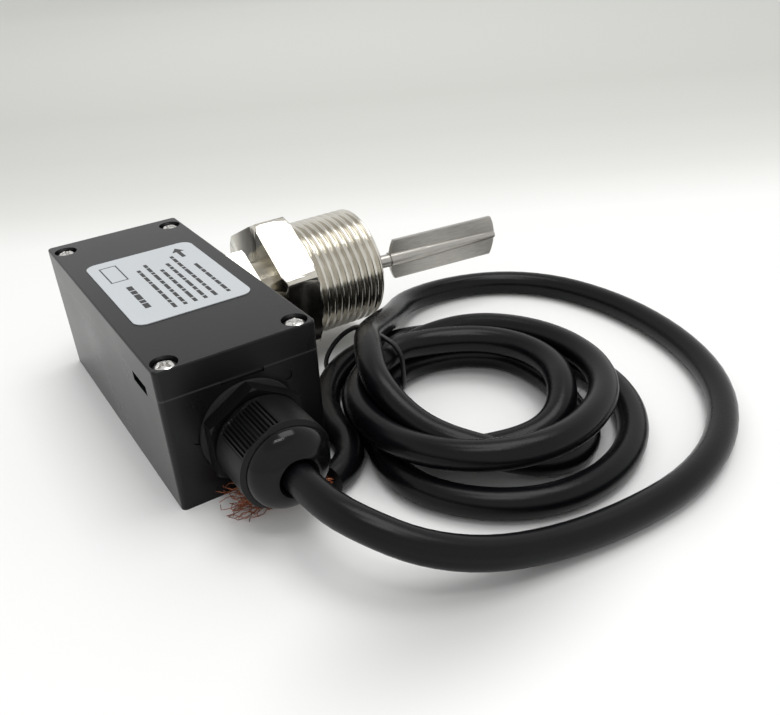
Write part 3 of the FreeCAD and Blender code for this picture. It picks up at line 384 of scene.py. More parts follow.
def ramp(tree, factor, stops):
    """A colour ramp through the stops (position, colour)."""
    node = add(tree, "ShaderNodeValToRGB", {"Fac": factor})
    elements = node.color_ramp.elements
    while len(elements) < len(stops):
        elements.new(1.0)
    for element, (position, colour) in zip(elements, stops):
        element.position = position
        element.color = (*colour, 1.0)
    return node.outputs["Color"]


def mottled(tree, cloud, colours):
    """The darker and the lighter colour, mixed by a noise."""
    return ramp(tree, cloud, [(0.3, colours[0]), (0.7, colours[1])])


def remap(tree, value, source=(0, 1), target=(0, 1), smooth=False):
    """The value, mapped from the source range to the target range."""
    inputs = {"Value": value, "From Min": source[0], "From Max": source[1]}
    inputs.update({"To Min": target[0], "To Max": target[1]})
    kind = "SMOOTHSTEP" if smooth else "LINEAR"
    return add(tree, "ShaderNodeMapRange", inputs, interpolation_type=kind).outputs["Result"]


def place(tree, scale=(1, 1, 1), turn=(0, 0, 0)):
    """Object coordinates, scaled and turned."""
    coordinates = add(tree, "ShaderNodeTexCoord").outputs["Object"]
    inputs = {"Vector": coordinates, "Scale": scale, "Rotation": turn}
    return add(tree, "ShaderNodeMapping", inputs).outputs["Vector"]


def noise(tree, vector, scale, detail=3.0, roughness=0.5):
    """Noise at a scale in cells a metre."""
    inputs = {"Vector": vector, "Scale": scale, "Detail": detail, "Roughness": roughness}
    return add(tree, "ShaderNodeTexNoise", inputs).outputs["Fac"]


def bump(tree, height, distance):
    """The normal of a surface raised by the height, times a distance in metres."""
    inputs = {"Height": height, "Distance": distance, "Strength": 1.0}
    return add(tree, "ShaderNodeBump", inputs).outputs["Normal"]


def new_material(name):
    """An empty material and its shader."""
    material = bpy.data.materials.get(name) or bpy.data.materials.new(name)
    material.use_nodes = True
    tree = material.node_tree
    tree.nodes.clear()
    shader = add(tree, "ShaderNodeBsdfPrincipled")
    output = add(tree, "ShaderNodeOutputMaterial")
    tree.links.new(shader.outputs["BSDF"], output.inputs["Surface"])
    return material, tree, shader


def plastic(name, colours, roughness, grain, ior=1.45):
    """A moulded plastic: faint mottling, fine grain and worn gloss."""
    material, tree, shader = new_material(name)
    where = place(tree)
    cloud = noise(tree, where, 45, 4)
    fine = noise(tree, where, 2600, 2)
    values = {
        "Base Color": mottled(tree, cloud, colours),
        "Roughness": remap(tree, cloud, target=roughness),
        "IOR": ior,
        "Normal": bump(tree, fine, grain),
    }
    link_inputs(tree, shader, values)
    return material


def metal(name, colours, roughness, scale, distance, turn=(0, 0, 0), cells=900):
    """A metal with lines drawn along one direction."""
    material, tree, shader = new_material(name)
    lines = noise(tree, place(tree, scale, turn), cells, 3)
    cloud = noise(tree, place(tree), 120, 3)
    values = {
        "Base Color": mottled(tree, lines, colours),
        "Metallic": 1.0,
        "Roughness": remap(tree, cloud, target=roughness),
        "Normal": bump(tree, lines, distance),
    }
    link_inputs(tree, shader, values)
    return material


# Mesh helpers


def points_of(path):
    """A path in millimetres as vectors in metres."""
    return [Vector(point) * MM for point in path]


def smooth_path(points, steps):
    """Points on a smooth line through all the given points."""
    ends = [points[0] * 2 - points[1], *points, points[-1] * 2 - points[-2]]
    line = []
    for a, b, c, d in zip(ends, ends[1:], ends[2:], ends[3:]):
        for step in range(steps):
            t = step / steps
            spot = 2 * b + (c - a) * t + (2 * a - 5 * b + 4 * c - d) * t**2
            spot += (3 * b - a - 3 * c + d) * t**3
            line.append(0.5 * spot)
    return [*line, points[-1]]


def shown(name, data):
    """An object of the scene with this mesh, curve, lamp or camera."""
    thing = bpy.data.objects.new(name, data)
    bpy.context.scene.collection.objects.link(thing)
    return thing


def line_object(name, lines):
    """An object whose mesh is a set of open lines."""
    mesh = bpy.data.meshes.new(name)
    vertices, edges = [], []
    for line in lines:
        first = len(vertices)
        vertices.extend(line)
        edges.extend((first + i, first + i + 1) for i in range(len(line) - 1))
    mesh.from_pydata(vertices, edges, [])
    return shown(name, mesh)


def finished_mesh(bm, name, smooth=True, angle=None):
    """Writes the bmesh to a mesh with its faces outward."""
    bmesh.ops.recalc_face_normals(bm, faces=bm.faces)
    mesh = bpy.data.meshes.new(name)
    bm.to_mesh(mesh)
    bm.free()
    mesh.polygons.foreach_set("use_smooth", [smooth] * len(mesh.polygons))
    if angle is not None:
        mesh.set_sharp_from_angle(angle=math.radians(angle))
    return mesh


def lathe(bm, profile, axis, steps, radius_at=None):
    """Closed rings about an axis through each profile point (height, radius).

    The axis is a matrix that takes (outward, outward, along) to the frame of the part.
    """
    rings = []
    for height, radius in profile:
        ring = []
        if radius == 0:
            rings.append([bm.verts.new(axis @ Vector((0, 0, height)))])
            continue
        for step in range(steps):
            angle = 2 * math.pi * step / steps
            out = radius_at(height, radius, angle) if radius_at else radius
            spot = Vector((out * math.cos(angle), out * math.sin(angle), height))
            ring.append(bm.verts.new(axis @ spot))
        rings.append(ring)
    for low, high in zip(rings, rings[1:]):
        for step in range(steps):
            after = (step + 1) % steps
            if len(low) == 1:
                bm.faces.new((low[0], high[step], high[after]))
            elif len(high) == 1:
                bm.faces.new((low[step], low[after], high[0]))
            else:
                bm.faces.new((low[step], low[after], high[after], high[step]))
    return rings


# Geometry nodes


def new_group(name, inputs):
    """A geometry node group with its named inputs."""
    tree = bpy.data.node_groups.new(name, "GeometryNodeTree")
    tree.interface.new_socket("Geometry", in_out="INPUT", socket_type="NodeSocketGeometry")
    for label, kind in inputs:
        tree.interface.new_socket(label, in_out="INPUT", socket_type="NodeSocket" + kind)
    tree.interface.new_socket("Geometry", in_out="OUTPUT", socket_type="NodeSocketGeometry")
    return tree, add(tree, "NodeGroupInput").outputs, add(tree, "NodeGroupOutput")


def close_group(tree, out, geometry, material):
    """Ends a group in Realize Instances and Set Material."""
    real = add(tree, "GeometryNodeRealizeInstances", {"Geometry": geometry})
    smooth = add(tree, "GeometryNodeSetShadeSmooth", {"Geometry": real.outputs["Geometry"]})
    inputs = {"Geometry": smooth.outputs["Geometry"], "Material": material}
    coloured = add(tree, "GeometryNodeSetMaterial", inputs)
    tree.links.new(coloured.outputs["Geometry"], out.inputs["Geometry"])


def grow(thing, tree, values, angle=None):
    """Runs the group on the object and keeps its result as a plain mesh."""
    modifier = thing.modifiers.new(tree.name, "NODES")
    modifier.node_group = tree
    for item in tree.interface.items_tree:
        if item.item_type == "SOCKET" and item.in_out == "INPUT" and item.name in values:
            modifier[item.identifier] = values[item.name]
    thing.update_tag()
    graph = bpy.context.evaluated_depsgraph_get()
    mesh = bpy.data.meshes.new_from_object(thing.evaluated_get(graph))
    thing.modifiers.clear()
    if angle is not None:
        mesh.set_sharp_from_angle(angle=math.radians(angle))
    old = thing.data
    thing.data = mesh
    bpy.data.meshes.remove(old)
    if not len(mesh.polygons):
        raise RuntimeError(f"{thing.name} came out empty")


def attribute(tree, name):
    """A number that the mesh carries under this name."""
    node = add(tree, "GeometryNodeInputNamedAttribute", {"Name": name}, data_type="FLOAT")
    return node.outputs["Attribute"]


def wire(tree, curve, radius, sides):
    """A round, capped wire along the curve."""
    ring = add(tree, "GeometryNodeCurvePrimitiveCircle", {"Radius": radius, "Resolution": sides})
    values = {"Curve": curve, "Profile Curve": ring.outputs["Curve"], "Fill Caps": True}
    return add(tree, "GeometryNodeCurveToMesh", values).outputs["Mesh"]


def sweep_group():
    """Follows each line of the mesh with a round wire."""
    inputs = [("Radius", "Float"), ("Sides", "Int"), ("Material", "Material")]
    tree, given, out = new_group("Follow lines", inputs)
    curve = add(tree, "GeometryNodeMeshToCurve", {"Mesh": given["Geometry"]})
    tube = wire(tree, curve.outputs["Curve"], given["Radius"], given["Sides"])
    close_group(tree, out, tube, given["Material"])
    return tree


def fray_group():
    """Copies each guide line many times and lets the copies stray towards their free end."""
    inputs = [("Count", "Int"), ("Radius", "Float"), ("Spread", "Float"), ("Bundle", "Float")]
    inputs += [("Seed", "Int"), ("Material", "Material")]
    tree, given, out = new_group("Fray", inputs)
    curve = add(tree, "GeometryNodeMeshToCurve", {"Mesh": given["Geometry"]})
    inputs = {"Geometry": curve.outputs["Curve"], "Amount": given["Count"]}
    many = add(tree, "GeometryNodeDuplicateElements", inputs, domain="SPLINE")
    index = add(tree, "GeometryNodeInputIndex").outputs["Index"]
    own = add(tree, "GeometryNodeFieldOnDomain", domain="CURVE", data_type="INT")
    link_inputs(tree, own, {0: index})
    along = add(tree, "GeometryNodeSplineParameter").outputs["Factor"]
    inputs = {0: AIM_LOW, 1: AIM_HIGH, "ID": own.outputs[0], "Seed": given["Seed"]}
    aim = add(tree, "FunctionNodeRandomValue", inputs, data_type="FLOAT_VECTOR")
    open_end = number(tree, "POWER", along, FRAY_POWER)
    reach = times(tree, open_end, given["Spread"])
    reach = number(tree, "ADD", reach, given["Bundle"])
    stray = scaled(tree, aim.outputs[0], reach)
    position = add(tree, "GeometryNodeInputPosition").outputs["Position"]
    seat = vector_math(tree, "ADD", position, scaled(tree, aim.outputs[0], 0.9))
    values = {"Vector": seat, "Scale": CURL_CELLS, "Detail": 1.0}
    curl = add(tree, "ShaderNodeTexNoise", values).outputs["Color"]
    curl = vector_math(tree, "SUBTRACT", curl, (0.5, 0.5, 0.5))
    wave = times(tree, along, given["Spread"])
    stray = vector_math(tree, "ADD", stray, scaled(tree, curl, times(tree, wave, CURL_REACH)))
    moved = vector_math(tree, "ADD", position, stray)
    parts = axes(tree, moved)
    floor = number(tree, "ADD", given["Radius"], FLOOR_GAP)
    height = number(tree, "MAXIMUM", parts["Z"], floor)
    spot = add(tree, "ShaderNodeCombineXYZ", {"X": parts["X"], "Y": parts["Y"], "Z": height})
    inputs = {"Geometry": many.outputs["Geometry"], "Position": spot.outputs["Vector"]}
    placed = add(tree, "GeometryNodeSetPosition", inputs)
    tube = wire(tree, placed.outputs["Geometry"], given["Radius"], 5)
    close_group(tree, out, tube, given["Material"])
    return tree


def thread_group():
    """Cuts a helix into the round surface where the mesh asks for a thread."""
    inputs = [("Pitch", "Float"), ("Depth", "Float"), ("Axis Y", "Float"), ("Axis Z", "Float")]
    inputs += [("Start", "Float"), ("Material", "Material")]
    tree, given, out = new_group("Cut thread", inputs)
    position = add(tree, "GeometryNodeInputPosition").outputs["Position"]
    parts = axes(tree, position)
    across = number(tree, "SUBTRACT", parts["Y"], given["Axis Y"])
    rise = number(tree, "SUBTRACT", parts["Z"], given["Axis Z"])
    turn = number(tree, "DIVIDE", number(tree, "ARCTAN2", rise, across), 2 * math.pi)
    travel = number(tree, "DIVIDE", number(tree, "SUBTRACT", parts["X"], given["Start"]), given["Pitch"])
    phase = number(tree, "FRACT", number(tree, "SUBTRACT", travel, turn))
    wave = number(tree, "PINGPONG", times(tree, phase, 2.0), 1.0)
    flank = remap(tree, wave, FLANK, smooth=True)
    weight = attribute(tree, "thread")
    cut = times(tree, times(tree, flank, given["Depth"]), weight)
    inward = add(tree, "ShaderNodeCombineXYZ", {"X": 0.0, "Y": across, "Z": rise}).outputs["Vector"]
    unit = vector_math(tree, "NORMALIZE", inward)
    offset = scaled(tree, unit, times(tree, cut, -1.0))
    inputs = {"Geometry": given["Geometry"], "Offset": offset}
    placed = add(tree, "GeometryNodeSetPosition", inputs)
    close_group(tree, out, placed.outputs["Geometry"], given["Material"])
    return tree


def repeat_group():
    """Puts a copy of one object at each point, turned by the point's own angle."""
    inputs = [("Piece", "Object"), ("Material", "Material")]
    tree, given, out = new_group("Repeat at points", inputs)
    piece = add(tree, "GeometryNodeObjectInfo", {"Object": given["Piece"], "As Instance": True})
    angle = attribute(tree, "turn")
    turn = add(tree, "ShaderNodeCombineXYZ", {"X": 0.0, "Y": 0.0, "Z": angle})
    inputs = {"Points": given["Geometry"], "Instance": piece.outputs["Geometry"]}
    inputs["Rotation"] = turn.outputs["Vector"]
    copies = add(tree, "GeometryNodeInstanceOnPoints", inputs)
    close_group(tree, out, copies.outputs["Instances"], given["Material"])
    return tree


# Operators


class FLOWSWITCH_OT_stage(bpy.types.Operator):
    """Camera, floor, room and overhead light."""

    bl_idname = "flowswitch.stage"
    bl_label = "Stage"

    def execute(self, context):
        scene = context.scene
        settings = scene.flow_stage
        scene.render.resolution_x, scene.render.resolution_y = IMAGE
        scene.view_settings.view_transform = "Standard"
        self.camera(scene)
        self.floor(settings)
        self.room(scene, settings)
        self.light(settings)
        return {"FINISHED"}

    def camera(self, scene):
        data = bpy.data.cameras.new("camera")
        data.sensor_width = 36.0
        data.lens = FOCAL_PIXELS / IMAGE[0] * data.sensor_width
        data.shift_x = (IMAGE[0] / 2 - PRINCIPAL[0]) / IMAGE[0]
        data.shift_y = (PRINCIPAL[1] - IMAGE[1] / 2) / IMAGE[0]
        data.clip_start = 0.01
        data.clip_end = 20.0
        yaw, pitch, roll = (math.radians(a) for a in CAMERA_ANGLES)
        back = Vector(
            (math.sin(yaw) * math.cos(pitch), -math.cos(yaw) * math.cos(pitch), math.sin(pitch))
        )
        right = (-back).cross(Vector((0, 0, 1))).normalized()
        up = right.cross(-back)
        turned_right = right * math.cos(roll) + up * math.sin(roll)
        turned_up = up * math.cos(roll) - right * math.sin(roll)
        rotation = Matrix((turned_right, turned_up, back)).transposed().to_4x4()
        camera = shown("camera", data)
        camera.matrix_world = Matrix.Translation(Vector(CAMERA_PLACE) * MM) @ rotation
        scene.camera = camera

    def floor(self, settings):
        bm = bmesh.new()
        bmesh.ops.create_grid(bm, x_segments=8, y_segments=8, size=settings.floor_size / 2)
        floor = shown("floor", finished_mesh(bm, "floor", smooth=False))
        material, tree, shader = new_material("stage_paper")
        where = place(tree)
        parts = axes(tree, where)
        sideways = times(tree, parts["X"], DEPTH_OF_X)
        depth = number(tree, "ADD", sideways, times(tree, parts["Y"], DEPTH_OF_Y))
        # Painted shade: the paper's grey falls and then rises with the distance behind the object, in
        # place of the light's falloff.
        painted_shade_tone = ramp(tree, depth, PAINTED_FALLOFF_TONES)
        grain = noise(tree, where, 900, 3)
        # Painted shadow: a soft grey patch before the loop darkens the paper's tone.
        offset = vector_math(tree, "SUBTRACT", where, (*PAINTED_SHADOW_CENTRE, 0.0))
        reach = (1 / PAINTED_SHADOW_REACH[0], 1 / PAINTED_SHADOW_REACH[1], 1.0)
        offset = vector_math(tree, "MULTIPLY", offset, reach)
        away = vector_math(tree, "LENGTH", offset, result="Value")
        painted_shadow_keep = remap(tree, away, target=(PAINTED_SHADOW_DEPTH, 1.0), smooth=True)
        painted_shade_tone = scaled(tree, painted_shade_tone, painted_shadow_keep)
        values = {
            "Base Color": painted_shade_tone,
            "Roughness": remap(tree, grain, target=(0.55, 0.75)),
            "Specular IOR Level": 0.25,
            "Normal": bump(tree, grain, 0.00001),
        }
        link_inputs(tree, shader, values)
        floor.data.materials.append(material)

    def room(self, scene, settings):
        world = bpy.data.worlds.new("room")
        scene.world = world
        world.use_nodes = True
        tree = world.node_tree
        tree.nodes.clear()
        rays = add(tree, "ShaderNodeLightPath").outputs
        direction = add(tree, "ShaderNodeTexCoord").outputs["Generated"]
        rise = axes(tree, direction)["Z"]
        strengths = (settings.backdrop, settings.ceiling)
        mirrored = remap(tree, rise, CEILING_EDGE, strengths, smooth=True)
        lit = times(tree, rays["Is Glossy Ray"], mirrored)
        seen = times(tree, rays["Is Camera Ray"], settings.backdrop)
        plain = number(tree, "MAXIMUM", rays["Is Camera Ray"], rays["Is Glossy Ray"])
        matt = times(tree, number(tree, "SUBTRACT", 1.0, plain), settings.fill)
        strength = number(tree, "ADD", number(tree, "ADD", lit, seen), matt)
        shade = add(tree, "ShaderNodeBackground", {"Color": (1, 1, 1, 1), "Strength": strength})
        output = add(tree, "ShaderNodeOutputWorld")
        tree.links.new(shade.outputs["Background"], output.inputs["Surface"])

    def light(self, settings):
        """The overhead panel, a soft panel behind the object and two thin lamp tubes.

        The panel behind lets the shadows fall towards the camera.
        """
        height = settings.light_height
        width = settings.light_width
        self.lamp("panel", (width, width), settings.light_power, (*PANEL_PLACE, height))
        back = self.lamp("back", (BACK_SIZE, BACK_SIZE), settings.back_power, BACK_PLACE)
        back.rotation_euler = (math.radians(BACK_TILT), 0, 0)
        back.visible_glossy = False
        for shift in TUBE_SHIFTS:
            spot = [at + step * shift for at, step in zip(TUBE_PLACE, TUBE_STEP)]
            tube = self.lamp("tube", TUBE_SIZE, settings.tube_power, (*spot, height))
            tube.rotation_euler = (0, 0, math.radians(TUBE_TURN))

    def lamp(self, name, size, power, spot):
        data = bpy.data.lights.new(name, "AREA")
        data.shape = "RECTANGLE"
        data.size, data.size_y = size
        data.energy = power
        lamp = shown(name, data)
        lamp.location = spot
        return lamp


class FLOWSWITCH_OT_finishes(bpy.types.Operator):
    """Procedural finishes, and their use on the CAD nodes that stay in view."""

    bl_idname = "flowswitch.finishes"
    bl_label = "Finishes"

    def execute(self, context):
        settings = context.scene.flow_surface
        rough, grain = settings.plastic_roughness, settings.plastic_grain
        gloss = (rough - 0.05, rough + 0.06)
        # The housing's plastic, with a painted highlight on the base just under the lid.
        self.seam(plastic("housing_black", HOUSING_BLACK, gloss, grain, 1.36))
        self.gland(GLAND_BLACK, grain)
        for name, (colours, roughness, grains) in PLASTICS.items():
            plastic(name, colours, roughness, grains * grain)
        self.cable(settings)
        self.cores(settings)
        brush = settings.brush_depth
        metal("nickel_brass", NICKEL, (0.14, 0.26), (1, 0.06, 0.06), brush * 0.4)
        self.turned_nickel(settings)
        lean = (0, 0, math.radians(6))
        metal("stainless", STEEL, (0.26, 0.4), (0.05, 1, 1), brush * 0.45, lean, 2600)
        metal("screw_nickel", BRIGHT_NICKEL, (0.24, 0.34), (1, 1, 0.3), brush * 0.3)
        metal("copper", COPPER, (0.22, 0.4), (1, 1, 1), brush * 0.2)
        for finish, nodes in NODES_OF_FINISH.items():
            for node in nodes:
                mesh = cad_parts[node].data
                mesh.materials.clear()
                mesh.materials.append(bpy.data.materials[finish])
        return {"FINISHED"}

    def seam(self, material):
        """A painted highlight: a lighter line on the base just below the lid, for the light on its
        rounded edge.
        """
        tree = material.node_tree
        shader = tree.nodes["Principled BSDF"]
        height = axes(tree, place(tree))["Z"]
        away = number(tree, "ABSOLUTE", number(tree, "SUBTRACT", height, SEAM_HEIGHT))
        # Painted highlight: the base colour turns lighter in a thin band at the seam's height.
        edge = remap(tree, away, SEAM_HIGHLIGHT_REACH, (1.0, 0.0))
        colour = shader.inputs["Base Color"].links[0].from_socket
        mix = add(tree, "ShaderNodeMix", data_type="RGBA")
        link_inputs(tree, mix, {"Factor": edge, 6: colour, 7: (0.032, 0.032, 0.034, 1.0)})
        tree.links.new(mix.outputs[2], shader.inputs["Base Color"])

    def gland(self, colours, grain):
        """Moulded plastic, grained on the grips and polished on the dome."""
        material, tree, shader = new_material("gland_black")
        where = place(tree)
        cloud = noise(tree, where, 60, 4)
        fine = noise(tree, where, 2200, 2)
        along = axes(tree, where)["Y"]
        grip = remap(tree, along, GRIP_EDGE, smooth=True)
        matt = times(tree, grip, 0.24)
        values = {
            "Base Color": mottled(tree, cloud, colours),
            "Roughness": number(tree, "ADD", remap(tree, cloud, target=(0.13, 0.17)), matt),
            "IOR": 1.3,
            "Normal": bump(tree, times(tree, fine, grip), grain * 3.0),
        }
        link_inputs(tree, shader, values)

    def cable(self, settings):
        material, tree, shader = new_material("cable_black")
        where = place(tree)
        cloud = noise(tree, where, 60, 4)
        fine = noise(tree, where, 1800, 3)
        pits = add(tree, "ShaderNodeTexVoronoi", {"Vector": where, "Scale": 700.0}).outputs["Distance"]
        mixed = number(tree, "ADD", fine, times(tree, pits, 0.4))
        values = {
            "Base Color": mottled(tree, cloud, CABLE_BLACK),
            "Roughness": remap(tree, cloud, target=(0.24, 0.31)),
            "IOR": 1.28,
            "Normal": bump(tree, mixed, settings.plastic_grain * 2.0),
        }
        link_inputs(tree, shader, values)

    def cores(self, settings):
        material, tree, shader = new_material("core_insulation")
        where = place(tree)
        parts = axes(tree, where)
        side = remap(tree, parts["X"], (-0.006, 0.006))
        stops = [(0.0, (0.14, 0.05, 0.02)), (0.36, (0.03, 0.09, 0.35)), (0.64, (0.25, 0.32, 0.03))]
        colour = ramp(tree, side, stops)
        colour.node.color_ramp.interpolation = "CONSTANT"
        fine = noise(tree, where, 1500, 2)
        values = {
            "Base Color": colour,
            "Roughness": remap(tree, fine, target=(0.35, 0.45)),
            "Normal": bump(tree, fine, settings.plastic_grain),
        }
        link_inputs(tree, shader, values)

    def turned_nickel(self, settings):
        """Nickel with marks that run round the fitting's axis."""
        material, tree, shader = new_material("nickel_turned")
        where = place(tree)
        lines = noise(tree, place(tree, (1, 0.02, 0.02)), 3500, 2)
        cloud = noise(tree, where, 140, 4)
        spots = noise(tree, where, 700, 2)
        values = {
            "Base Color": mottled(tree, cloud, TURNED_NICKEL),
            "Metallic": 1.0,
            "Roughness": remap(tree, spots, target=(0.13, 0.24)),
            "Normal": bump(tree, lines, settings.brush_depth * 0.35),
        }
        link_inputs(tree, shader, values)


def coil_points(count):
    """Control points round the coil, count a turn, set out so that the curve keeps its radius."""
    step = 360 / count
    first, last = STATIONS[0][0], STATIONS[-1][0]
    steps = math.ceil((last - first) / step)
    reach = 1 / math.cos(math.radians(step / 2))
    points = []
    for index in range(steps + 1):
        angle = first + (last - first) * index / steps
        for low, high in zip(STATIONS, STATIONS[1:]):
            if angle <= high[0] + 1e-6:
                break
        share = (angle - low[0]) / (high[0] - low[0])
        radius = (low[1] + (high[1] - low[1]) * share) * reach
        height = max(low[2] + (high[2] - low[2]) * share, LOWEST)
        around = math.radians(angle)
        x = COIL_CENTRE[0] + radius * math.cos(around)
        y = COIL_CENTRE[1] + radius * math.sin(around)
        points.append((x, y, height))
    return points


class FLOWSWITCH_OT_cable(bpy.types.Operator):
    """The cable from the gland through its loop and coil to the cut end, with tie and strands."""

    bl_idname = "flowswitch.cable"
    bl_label = "Cable"

    def execute(self, context):
        settings = context.scene.flow_cable
        tie = self.tie(settings)
        strands = self.strands(settings)
        self.cable(settings, [tie, strands])
        return {"FINISHED"}

    def cable(self, settings, held):
        route = points_of([*LOOP, *coil_points(settings.turn_points), *TAIL])
        curve = bpy.data.curves.new("cable", "CURVE")
        curve.dimensions = "3D"
        curve.resolution_u = 4
        curve.bevel_depth = settings.diameter / 2
        curve.bevel_resolution = 8
        curve.use_fill_caps = True
        spline = curve.splines.new("NURBS")
        spline.points.add(len(route) - 1)
        for point, spot in zip(spline.points, route):
            point.co = (*spot, 1.0)
        spline.order_u = 3
        spline.use_endpoint_u = True
        spline.use_smooth = True
        curve.materials.append(bpy.data.materials["cable_black"])
        cable = shown("cable", curve)
        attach(cable, "root")
        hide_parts("cord_lead", "cord_coil", "cord_tail")

    def tie(self, settings):
        angle = math.radians(TIE_ANGLE)
        line = [
            (COIL_CENTRE[0] + r * math.cos(angle), COIL_CENTRE[1] + r * math.sin(angle), z)
            for r, z in TIE_PATH
        ]
        tie = line_object("tie", [smooth_path(points_of(line), 8)])
        values = {
            "Radius": settings.tie_radius,
            "Sides": 14,
            "Material": bpy.data.materials["tie_black"],
        }
        grow(tie, sweep_group(), values)
        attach(tie, "root")
        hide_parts("twist_tie")
        return tie

    def strands(self, settings):
        lines = [smooth_path(points_of(guide), 10) for guide in STRAND_GUIDES]
        strands = line_object("strands", lines)
        values = {
            "Count": settings.strands,
            "Radius": settings.strand_radius,
            "Spread": settings.strand_spread,
            "Bundle": STRAND_BUNDLE,
            "Seed": settings.seed,
            "Material": bpy.data.materials["copper"],
        }
        grow(strands, fray_group(), values)
        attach(strands, "root")
        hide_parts("copper_strands")
        return strands


class FLOWSWITCH_OT_fitting(bpy.types.Operator):
    """The fitting with its hexagon, its bore and a cut pipe thread."""

    bl_idname = "flowswitch.fitting"
    bl_label = "Fitting"

    def execute(self, context):
        fitting = shown("fitting", self.mesh())
        values = {
            "Pitch": PITCH * MM,
            "Depth": THREAD_DEPTH * MM,
            "Axis Y": FITTING_AXIS[0] * MM,
            "Axis Z": FITTING_AXIS[1] * MM,
            "Start": THREAD["start"] * MM,
            "Material": bpy.data.materials["nickel_turned"],
        }
        grow(fitting, thread_group(), values, angle=50)
        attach(fitting, "root")
        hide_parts("fitting_body")
        return {"FINISHED"}

    def mesh(self):
        start, stop = HEXAGON["start"], HEXAGON["stop"]
        sides = [start + d for d in (0, 0.35, 0.7)]
        sides += [stop - d for d in (0.7, 0.35, 0)]
        first, last = THREAD["start"], THREAD["stop"]
        count = round((last - first) / PITCH * THREAD_STEPS)
        barrel = [first + (last - first) * i / count for i in range(count + 1)]
        hexagon = [(x, -1) for x in sides]
        thread = [(x, THREAD["radius"] - max(0, x - last + THREAD["chamfer"])) for x in barrel]
        along, height = FITTING_AXIS
        axis = Matrix(((0, 0, MM, 0), (MM, 0, 0, along * MM), (0, MM, 0, height * MM), (0, 0, 0, 1)))
        bm = bmesh.new()
        layer = bm.verts.layers.float.new("thread")
        profile = FITTING_NECK + hexagon + thread + FITTING_BORE
        rings = lathe(bm, profile, axis, ROUND_STEPS, self.radius)
        begin = len(FITTING_NECK) + len(hexagon)
        for ring, (x, _) in zip(rings[begin:], thread):
            fade = min(1.0, max(0.0, (x - first - THREAD["lead_in"]) / THREAD["grow"]))
            fade *= min(1.0, max(0.25, (last - x) / THREAD["run_out"]))
            for vertex in ring:
                vertex[layer] = fade
        return finished_mesh(bm, "fitting")

    def radius(self, x, radius, angle):
        """Radius of the surface; a negative one stands for the hexagon."""
        if radius >= 0:
            return radius
        turn = (math.degrees(angle) - HEXAGON["corner"] + 60) % 60 - 30
        side = HEXAGON["inradius"] / math.cos(math.radians(turn))
        edge = min(x - HEXAGON["start"], HEXAGON["stop"] - x)
        return min(side, HEXAGON["face"] + edge * math.tan(math.radians(60)))


def recess_depth(across, along):
    """How deep the cross recess is at a place on the screw's head, as a share."""
    arm = max(min(abs(across), abs(along)) - ARM_HALF_WIDTH, 0) / 0.16
    reach = max(max(abs(across), abs(along)) - ARM_REACH, 0) / 0.3
    core = max(math.hypot(across, along) - CORE_RADIUS, 0) / 0.35
    return max(0.0, 1 - max(arm, reach), 1 - core)


class FLOWSWITCH_OT_gland_cap(bpy.types.Operator):
    """The dome nut of the gland, with three ribbed grips."""

    bl_idname = "flowswitch.gland_cap"
    bl_label = "Gland cap"

    def execute(self, context):
        bm = bmesh.new()
        axis = Matrix(((MM, 0, 0, 0), (0, 0, -MM, 0), (0, MM, 0, GLAND_HEIGHT * MM), (0, 0, 0, 1)))
        lathe(bm, CAP_PROFILE, axis, 360, self.radius)
        mesh = finished_mesh(bm, "gland_cap", angle=32)
        mesh.materials.append(bpy.data.materials["gland_black"])
        cap = shown("gland_dome_nut", mesh)
        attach(cap, "root")
        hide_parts("gland_cap")
        return {"FINISHED"}

    def radius(self, height, radius, angle):
        """Flats on the grip, each with a row of grooves."""
        if not (GRIP[0] <= height <= GRIP[1] and radius > 10):
            return radius
        turn = (math.degrees(angle) + 60) % 120 - 60
        flat = min(radius, GRIP_FLAT / math.cos(math.radians(turn)))
        low, high = GRIP[0] + GROOVE_ENDS[0], GRIP[1] - GROOVE_ENDS[1]
        if abs(turn) > GRIP_HALF_TURN or not low <= height <= high:
            return flat
        groove = abs((turn / GROOVE_TURN + 0.5) % 1 - 0.5) * 2
        return flat - GROOVE_DEPTH * max(0.0, min(1.0, (groove - 0.45) / 0.3))


class FLOWSWITCH_OT_lid_screws(bpy.types.Operator):
    """Four cross-recessed screws in the seats of the lid."""

    bl_idname = "flowswitch.lid_screws"
    bl_label = "Lid screws"

    def execute(self, context):
        screw = shown("one_screw", self.mesh())
        mesh = bpy.data.meshes.new("lid_screws")
        spots = [Vector((x, y, SCREW_SEAT)) * MM for x, y, _ in LID_SCREWS]
        mesh.from_pydata(spots, [], [])
        turns = mesh.attributes.new("turn", "FLOAT", "POINT")
        turns.data.foreach_set("value", [math.radians(t) for _, _, t in LID_SCREWS])
        screws = shown("screws", mesh)
        values = {"Piece": screw, "Material": bpy.data.materials["screw_nickel"]}
        grow(screws, repeat_group(), values, angle=35)
        bpy.data.objects.remove(screw)
        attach(screws, "root")
        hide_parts("lid_screws")
        return {"FINISHED"}

    def mesh(self):
        """A pan head with a tapered cross recess over a plain shank."""
        bm = bmesh.new()
        shank = [(-11.7, 0), (-11.7, 1.0), (-11.2, 1.2), (0, 1.2)]
        side = [(0, 2.6), (0.12, HEAD_RADIUS), (HEAD_SIDE, HEAD_RADIUS)]
        dome = [(self.head_height(r / HEAD_RADIUS), r) for r in HEAD_RINGS]
        lathe(bm, [*shank, *side, *dome, (HEAD_TOP, 0)], Matrix.Scale(MM, 4), 96)
        for vertex in bm.verts:
            x, y, z = vertex.co / MM
            if z > HEAD_SIDE + 0.05:
                vertex.co.z -= RECESS_DEPTH * MM * recess_depth(x, y)
        return finished_mesh(bm, "one_screw")

    def head_height(self, share):
        """Height of the domed head at a share of its radius."""
        return HEAD_TOP - 0.75 * share**4 - 0.25 * share**2


